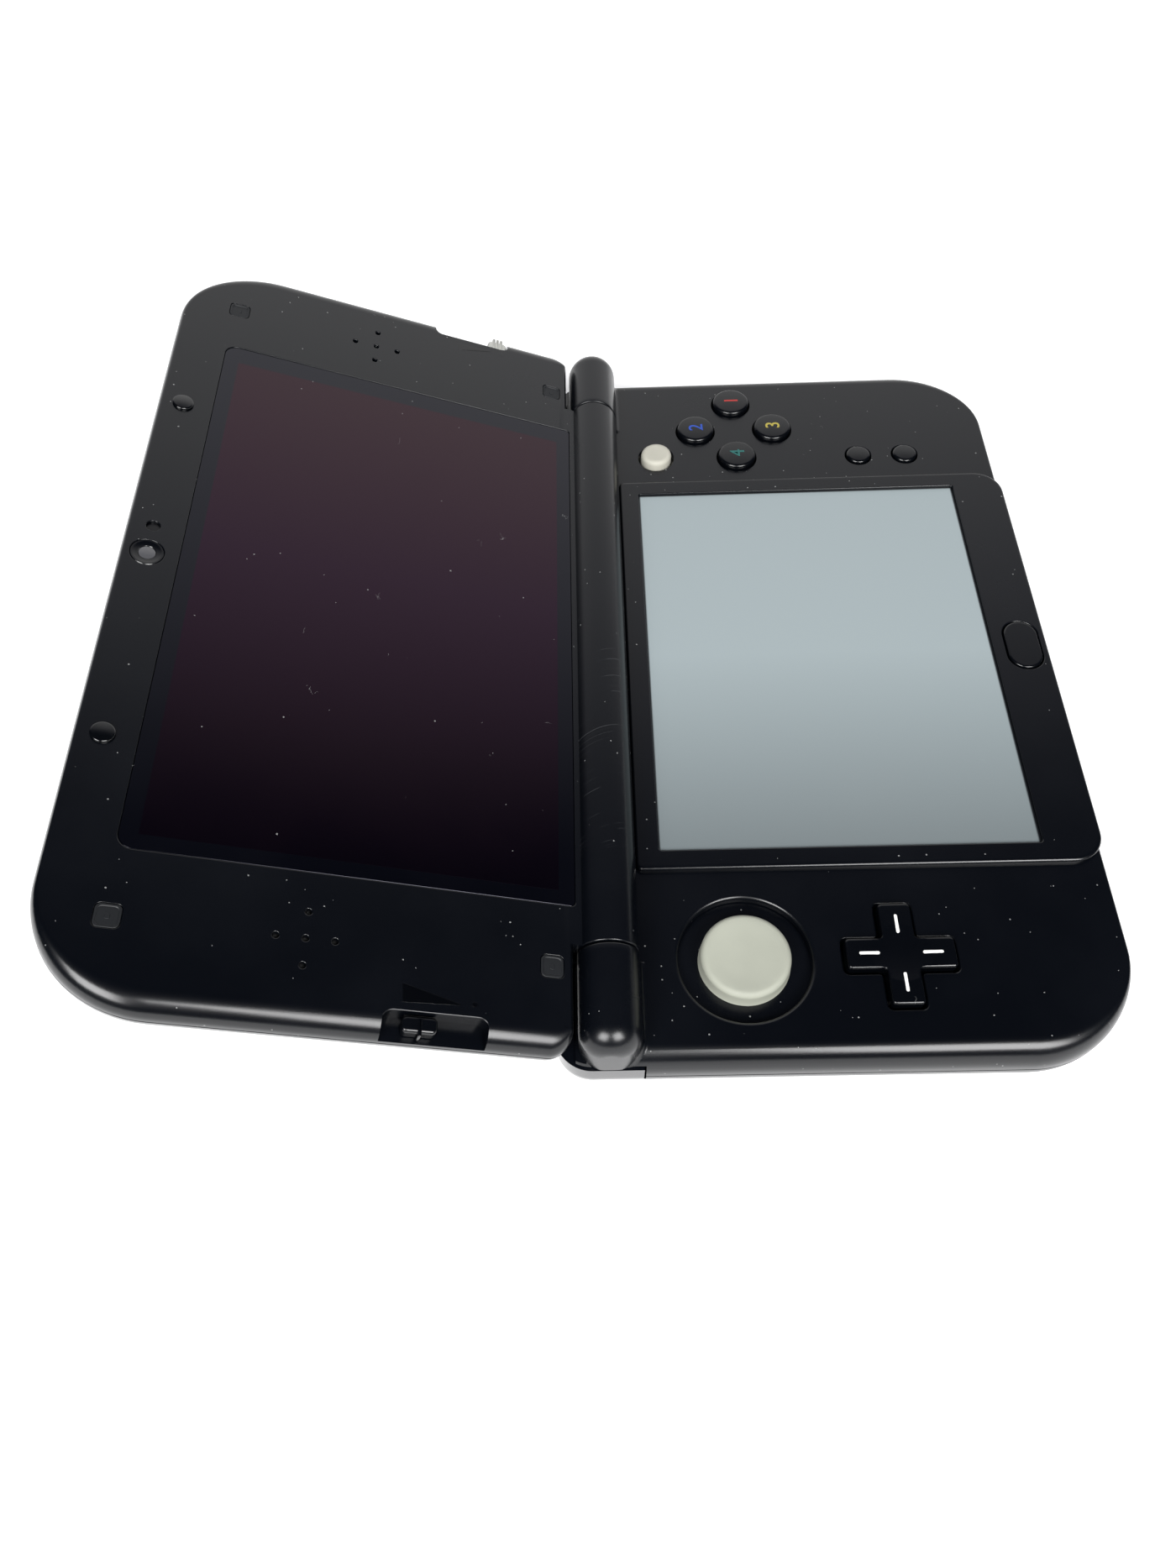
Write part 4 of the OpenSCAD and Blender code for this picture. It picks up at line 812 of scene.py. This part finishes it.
# the controls
roundButton = {"foot": 8.8, "flange": 0.9, "flangeT": 0.8, "top": 12.5, "edge": 0.55, "crown": 0.12}
menuButton = {**roundButton, "top": 11.9, "edge": 0.5, "crown": 0.1}
glyphs = {"size": 4.3, "rise": 0.03, "weight": 0.02, "inks": ("redInk", "blueInk", "yellowInk", "greenInk")}


def makeButton(name, spot, r, steps, foot, flange, flangeT, top, edge, crown):
    # flange, straight side, rounded edge and a crowned top, as radius and height
    wide, shelf, reach = r + flange, foot + flangeT, r - edge
    profile = [(0, foot), (wide - 0.1, foot), (wide, foot + 0.1), (wide, shelf - 0.1), (wide - 0.1, shelf),
               (r, shelf)]
    profile += roundOver(r, top - crown, edge, 6)
    profile += [(reach * s, top - crown * s * s) for s in (0.9, 0.75, 0.5, 0.25, 0)]
    settle(toObject(name + "_cap", lathe(profile, steps, spot)), name, "button", name)


def makeDigit(i, body):
    # a plain number, a hair thick, centred on its button
    curve = bpy.data.curves.new(body, "FONT")
    curve.body = str(i + 1)
    curve.size, curve.extrude, curve.offset = (glyphs[key] * mm for key in ("size", "rise", "weight"))
    curve.align_x, curve.align_y = "CENTER", "CENTER"
    temp = addObject(body + "_curve", curve)
    mesh = evaluated(temp)
    bpy.data.objects.remove(temp)
    co = np.empty(len(mesh.vertices) * 3, np.float32)
    mesh.vertices.foreach_get("co", co)
    co = co.reshape(-1, 3)
    co[:, :2] -= (co[:, :2].max(0) + co[:, :2].min(0)) / 2
    co += np.array((*buttonSpots[i], roundButton["top"] - 0.012)) * mm
    mesh.vertices.foreach_set("co", co.ravel())
    settle(addObject(body + "_digit", mesh), body, glyphs["inks"][i])


for i, spot in enumerate(buttonSpots):
    name = f"face_button_{i + 1}"
    makeButton(name, spot, controls["button"] / 2, 96, **roundButton)
    makeDigit(i, name)

x, y, pitch, d = controls["menu"]
for k, name in enumerate(("start_button", "select_button")):
    makeButton(name, (x, y - k * pitch), d / 2, 72, **menuButton)

home = {"foot": 9.8, "shelf": 10.6, "top": 12.5, "edge": 0.35}
x, y, l, w = controls["home"]
cap = boss(stadiumPath(x, y, l - 0.3, w - 0.5), home["foot"], home["top"], home["edge"])
homeCap = toObject("home_button_cap", cap)
flange = loft(stadiumPath(x, y, l + 1.8, w - 0.6), [(0, home["foot"]), (0, home["shelf"])])
combine(homeCap, flange, how="UNION")
settle(homeCap, "home_button", "button", "home_button")

powerCap = loftY(stadiumPath(*power), [(0.9, -80.1), (0.9, -80.9), (0, -80.9), (0, -84.0), (-0.1, -84.2),
                                       (-0.3, -84.3), (-0.6, -84.3)])
settle(toObject("power_button_cap", powerCap), "power_button", "button", "power_button")

cross = {"foot": 8.55, "top": 12.5, "edge": 0.45, "outer": 0.7, "inner": 0.5, "dish": 60.0, "dishDepth": 0.22}
x, y, w, arm = controls["dpad"][:4]
path = crossPath(x, y, w, arm, cross["outer"], cross["inner"], 6)
padCross = toObject("dpad_cross", boss(path, cross["foot"], cross["top"], cross["edge"]))
combine(padCross, lathe([(0, 8.5), (7.6, 8.5), (7.6, 9.1), (0, 9.1)], 64, (x, y)), how="UNION")
# a shallow spherical hollow in the middle: radius sin t, height 1 - cos t, times the sphere's radius
low, dish = cross["top"] - cross["dishDepth"], cross["dish"]
hollow = [(dish * sin(t), low + dish * (1 - cos(t))) for t in np.radians(np.linspace(0, 12, 14))]
hollow += [(hollow[-1][0], cross["top"] + 5), (0, cross["top"] + 5)]
combine(padCross, lathe(hollow, 64, (x, y)))
settle(padCross, "dpad", "button", "dpad", smooth=28)
bar = {"length": 3.3, "width": 0.52, "at": 5.1, "rise": 0.04}
bars = []
for dx, dy in diamond:
    half = (bar["length"] / 2, bar["width"] / 2)[::1 if dx else -1]
    path = centredRect(x + dx * bar["at"], y + dy * bar["at"], *half, bar["width"] / 2 - 0.01)
    bars.append(boss(path, cross["top"] - 0.25, cross["top"] - 0.01 + bar["rise"], 0.03))
settle(toObject("dpad_bars", joined(*bars)), "dpad", "whiteInk")

x, y = controls["slide"][:2]
r, top, base, rim, dish = 7.35, 12.9, 9.6, 1.0, 0.35
profile = [(0, base - 0.05), (r + 0.2, base - 0.05), (r + 0.15, base + 0.25), (r, base + 0.8)]
profile += roundOver(r, top, rim, 8)
profile += [((r - rim - 0.5) * q, top - 0.02 - dish * (1 - q * q)) for q in (1, 0.85, 0.7, 0.5, 0.25, 0)]
settle(toObject("slide_pad_top", lathe(profile, 128, (x, y))), "slide_pad", "pad_rubber", "slide_pad_cap")
skirt = [(0, 8.8), (13.0, 8.8), (13.15, 8.95), (13.15, 9.3), (12.8, 9.5), (10.5, 9.6), (8.5, 9.45), (7.0, 9.6),
         (0, 9.6)]
settle(toObject("slide_pad_disc", lathe(skirt, 128, (x, y))), "slide_pad", "case", "slide_pad_skirt")

x, y, d = controls["stick"][:3]
r, foot, top, edge = d / 2, 8.4, 12.8, 0.9
profile = [(0, foot), (r + 1, foot), (r + 1, foot + 0.6), (r - 0.1, foot + 0.6), (r - 0.05, foot + 1.5)]
profile += roundOver(r, top, edge, 7)
profile += [((r - edge) * q, top - 0.06 * (1 - q * q)) for q in (0.8, 0.5, 0.25, 0)]
settle(toObject("stick_top", lathe(profile, 96, (x, y))), "stick_cap", "stick_rubber", "stick_cap")
print("controls made")

# the lid, modelled flat in its own frame: the hinge's axis is its X, its front is the edge beside the hinge
lid = {"width": 160.0, "front": 5.8, "rear": 84.8, "frontR": 3.8, "rearR": 18.0, "face": 1.43, "split": -2.47,
       "back": -6.87, "innerRound": 3.3, "outerRound": 4.2, "wall": 1.2, "webY": 8.0}
glass = {"w": 111.3, "l": 69.2, "near": 5.85, "floor": 0.53, "t": 0.8}
fittings = {"speaker": (66.5, 47.1, 4.25, 0.5), "plugs": ((66.5, 74.1), (66.5, 9.7)), "plug": 3.8,
            "camera": (0, 80.2, 2.7), "sensor": (6, 80.2, 1.1), "bumper": (36.9, 80.2, 1.85),
            "slot": (76.1, 19.4, 35.2, 3.0)}


def lidCavity(z0, z1):
    # the room inside the lid
    loop = outline(lid["width"], lid["webY"] + 1, lid["rear"], lid["frontR"], lid["rearR"], 4.2, 2.2)
    return skin([flat(loop, z) for z in (z0, z1)])


def barrelSolid():
    # the lid's barrel with eased ends
    half, r, edge = hinge["half"], hinge["r"], 0.3
    a, t = quarter(4)[::-1], turnAngles(128)
    xs, rs = half - edge * (1 - np.sin(a)), r - edge * (1 - np.cos(a))
    xs, rs = np.r_[xs, -xs[::-1]][:, None], np.r_[rs, rs[::-1]][:, None]
    return skin(np.stack([xs + 0 * t, rs * np.cos(t), rs * np.sin(t)], -1))


def lidFittings():
    # speaker holes, screw wells, camera, sensor and the two sliders' slots
    f, top = fittings, lid["face"]
    x, y, pitch, r = f["speaker"]
    holes = [opening(circlePath(x + dx * pitch, y + dy * pitch, r, 32), top, 2.6, 0.18)
             for dx, dy in [(0, 0)] + diamond]
    half = f["plug"] / 2
    wells = [opening(centredRect(x, y, half, half, 0.9), top, 0.7, 0.12) for x, y in f["plugs"]]
    x, y, r = f["camera"]
    eye = opening(circlePath(x, y, r + 0.05, 64), top, 2.6, 0.15)
    x, y, r = f["sensor"]
    sensor = opening(circlePath(x, y, r + 0.05, 48), top, 2.6, 0.12)
    x, y0, y1, depth = f["slot"]
    slot = opening(rectPath(x, y0, 84, y1, 1.6, 10), top, depth, 0.22)
    return [*twice(*holes, *wells), eye, sensor, *twice(slot)]


def makeLidInner():
    # the face shell, the web and the barrel, then the room inside, the glass's seat and the fittings
    c, g, end = lid, glass, hinge["half"]
    shell = shellSolid("lid_face", c, c["face"], c["innerRound"])
    web = extrudeX([(0, -4.9), (c["webY"], c["back"]), (c["webY"], c["face"]), (0, c["face"])],
                   -end + 0.02, end - 0.02)
    combine(shell, web, barrelSolid(), how="UNION")
    half = g["w"] / 2 + 0.06
    seat = rectPath(-half, g["near"] - 0.05, half, g["near"] + g["l"] + 0.06, [0.8, 0.8, 2.4, 2.4], 8)
    display = box(-54.05, 9.2, c["split"] - 1, 54.05, 74.3, g["floor"] + 0.2)
    combine(shell, lidCavity(c["split"] - 1, c["face"] - c["wall"]),
            opening(seat, c["face"], c["face"] - g["floor"], 0.15), display, *lidFittings(),
            rod("x", (0, 0), hinge["bore"], -end - 1, end + 1))
    settle(shell, "lid", "case", "lid_inner_shell")


def makeLidOuter():
    # the glossy outer shell, open at the web, with the two outer cameras' holes
    c, end = lid, hinge["half"] + hinge["gap"]
    shell = shellSolid("lid_back", c, c["back"], c["outerRound"])
    combine(shell, box(-end, -1, c["back"] - 1, end, c["webY"] + 0.05, c["split"] + 1),
            lidCavity(c["back"] + c["wall"], c["split"] + 1),
            *[rod("z", (x, 74), 3.35, c["back"] - 1, c["back"] + 3) for x in (17.5, -17.5)])
    settle(shell, "lid", "gloss", "lid_outer_shell")


def makeGlass():
    # the screen glass, and the picture area a hair above it
    g, top = glass, glass["floor"] + glass["t"]
    path = rectPath(-g["w"] / 2, g["near"], g["w"] / 2, g["near"] + g["l"], [0.75, 0.75, 2.35, 2.35], 8)
    settle(toObject("lid_glass", boss(path, g["floor"], top, 0.12)), "lid", "screen_glass", "screen_glass")
    pane = rectPath(screen["x0"], screen["y0"], screen["x1"], screen["y1"], 0.15, 4)
    settle(toObject("lid_picture", loft(pane, [(0, top - 0.05), (0, top + screen["rise"])])), "lid",
           "screenActive")


def makeLidTrim():
    # screw covers, bumpers, the inner camera with its lens, and the sensor's window
    f, top = fittings, lid["face"]
    half = f["plug"] / 2 - 0.08
    squares, wells, bumps = (joined(*twice(*solids)) for solids in zip(*[
        (boss(centredRect(x, y, half, half, 0.85), top - 0.7, top - 0.01, 0.1),
         loft(centredRect(x, y, 1.4, 1.4, 0.6), [(0, top - 0.12), (0.05, top - 0.07), (0.12, top - 0.02),
                                                 (0.12, top + 1)]),
         boss(centredRect(x, y, 0.5, 0.35, 0.2, 4), top - 0.3, top - 0.06, 0.05)) for x, y in f["plugs"]]))
    caps = toObject("plug_caps", squares)
    combine(caps, wells)
    combine(caps, bumps, how="UNION")
    settle(caps, "lid", "rubber", "screw_covers")
    x, y, r = f["bumper"]
    profile = [(0, top - 1.2), (1.25, top - 1.2), (1.25, top), (r, top)] + roundOver(r, top + 0.48, 0.3, 6)
    profile += [((r - 0.3) * q, top + 0.6 - 0.12 * q * q) for q in (0.8, 0.5, 0.25, 0)]
    domes = joined(*twice(lathe(profile, 72, (x, y))))
    settle(toObject("bumper_domes", domes), "lid", "bumper", "lid_bumpers")
    x, y, r = f["camera"]
    profile = [(0, top - 1.3), (r, top - 1.3), (r, top - 0.12), (r - 0.1, top - 0.02), (r - 0.4, top - 0.02),
               (r - 0.5, top - 0.06), (1.5, top - 0.14), (1.42, top - 0.24), (0, top - 0.24)]
    ringPiece = toObject("camera_ring", lathe(profile, 72, (x, y)))
    combine(ringPiece, box(-3.4, 77.0, top - 3.6, 3.4, 82.4, top - 1.25), how="UNION")
    settle(ringPiece, "lid", "button", "inner_camera")
    lens = lathe([(0, top - 0.34), (1.36, top - 0.34), (1.32, top - 0.22), (0.8, top - 0.13), (0.4, top - 0.11),
                  (0, top - 0.1)], 48, (x, y))
    settle(toObject("camera_lens", lens), "lid", "lens")
    x, y, r = f["sensor"]
    window = lathe([(0, top - 1.3), (r, top - 1.3), (r, top - 0.5), (0, top - 0.5)], 48, (x, y))
    settle(toObject("sensor_window", window), "lid", "sensor", "light_sensor")


def makeMarks():
    # a wedge and a dot beside each slider's slot, a hair above the face
    low, high = lid["face"] - 0.1, lid["face"] + 0.02
    marks = []
    for corners, dot in ((((-71.8, 32.6), (-74.8, 32.4), (-74.4, 23.2)), (-74.1, 21.7)),
                         (((74.6, 22.4), (74.2, 30.2), (72.2, 30.4)), (74.4, 20.9))):
        for path in (roundedPath(corners, 0.12, 3), circlePath(*dot, 0.42, 24)):
            marks.append(boss(path, low, high, 0.02))
    settle(toObject("slider_marks", joined(*marks)), "lid", "darkInk")


def makeKnob(name, at, length, ribs, material, flip):
    # a slider's body with rounded ends, its ribs and the tongue in the slot's groove
    x0, face = fittings["slot"][0] + 0.3, lid["face"]
    top, low = face - 0.6, face - 2.7
    piece = toObject(name + "_grip", boss(rectPath(x0, at, 79.0, at + length, 0.8, 8), low, top, 0.55))
    ridges = [boss(rectPath(x0 + 0.3, at + y - 0.28, 79.6, at + y + 0.28, 0.2, 5), low + 0.05, top + 0.18, 0.15)
              for y in ribs]
    combine(piece, *ridges, box(75.1, at + 0.4, face - 2.1, 77.1, at + length - 0.4, face - 1.7), how="UNION")
    settle(flipped(piece) if flip else piece, name, material, name)


makeLidInner()
print("lid face made")
makeLidOuter()
makeGlass()
makeLidTrim()
makeMarks()
makeKnob("volume_knob", 26.9, 5.3, (2.65,), "button", True)
makeKnob("depth_knob", 19.7, 4.0, (1.2, 2.0, 2.8), "slider", False)
print("lid made")

# stage and light
stage = {"half": 0.75, "low": -0.0001, "colour": (0.8, 0.8, 0.8), "lift": 0.45, "lampSize": 0.55,
         "watts": 13.0}
h, low = stage["half"], stage["low"]
floorMesh = bpy.data.meshes.new("floor")
floorMesh.from_pydata([(-h, -h, low), (h, -h, low), (h, h, low), (-h, h, low)], [], [(0, 1, 2, 3)])
floor = addObject("floor", floorMesh)
floorMat = bpy.data.materials.new("floor")
floorMat.use_nodes = True
tree = floorMat.node_tree
tree.nodes.clear()
out = tree.nodes.new("ShaderNodeOutputMaterial")
diffuse = tree.nodes.new("ShaderNodeBsdfDiffuse")
feed(tree, diffuse.inputs["Color"], stage["colour"])
glow = tree.nodes.new("ShaderNodeEmission")
# the floor is lifted toward white where it's seen, but lights nothing
rays = tree.nodes.new("ShaderNodeLightPath").outputs
seen = calc(tree, "MAXIMUM", calc(tree, "MAXIMUM", rays["Is Camera Ray"], rays["Is Glossy Ray"]),
            rays["Is Transmission Ray"])
feed(tree, glow.inputs["Strength"], product(tree, seen, stage["lift"]))
total = tree.nodes.new("ShaderNodeAddShader")
for socket, shader in zip(total.inputs, (diffuse, glow)):
    tree.links.new(shader.outputs[0], socket)
tree.links.new(total.outputs[0], out.inputs["Surface"])
floorMesh.materials.append(floorMat)

# white for the camera; what glossy pieces mirror goes from dark on the near side to bright on the far side
world = bpy.data.worlds.new("studio")
bpy.context.scene.world = world
world.use_nodes = True
tree = world.node_tree
background = tree.nodes["Background"]
where = axes(tree, tree.nodes.new("ShaderNodeTexCoord").outputs["Generated"])[0]
room = colourRamp(tree, where, [(0.0, (0.02, 0.024, 0.035)), (0.42, (0.012, 0.016, 0.03)),
                                (0.5, (0.05, 0.055, 0.08)), (0.62, (0.42, 0.42, 0.45)),
                                (0.76, (0.85, 0.85, 0.86)), (0.9, (1.0, 1.0, 1.0))])
seen = tree.nodes.new("ShaderNodeLightPath").outputs["Is Camera Ray"]
feed(tree, background.inputs["Color"], mixColour(tree, seen, room, (1.0, 1.0, 1.0)))
background.inputs["Strength"].default_value = 1.0

lamps = {"keyLeft": (-0.75, 0.45, 0.75), "keyRight": (-0.75, -0.45, 0.75)}
for name, place in lamps.items():
    data = bpy.data.lights.new(name, "AREA")
    data.size, data.energy = stage["lampSize"], stage["watts"]
    z = np.array(place) / np.linalg.norm(place)  # an area lamp shines along its own -z
    x = np.cross((0, 0, 1), z)
    x /= np.linalg.norm(x)
    lamp = addObject(name, data)
    lamp.matrix_world = Matrix.Translation(place) @ Matrix(np.c_[x, np.cross(z, x), z].tolist()).to_4x4()
print("stage made")
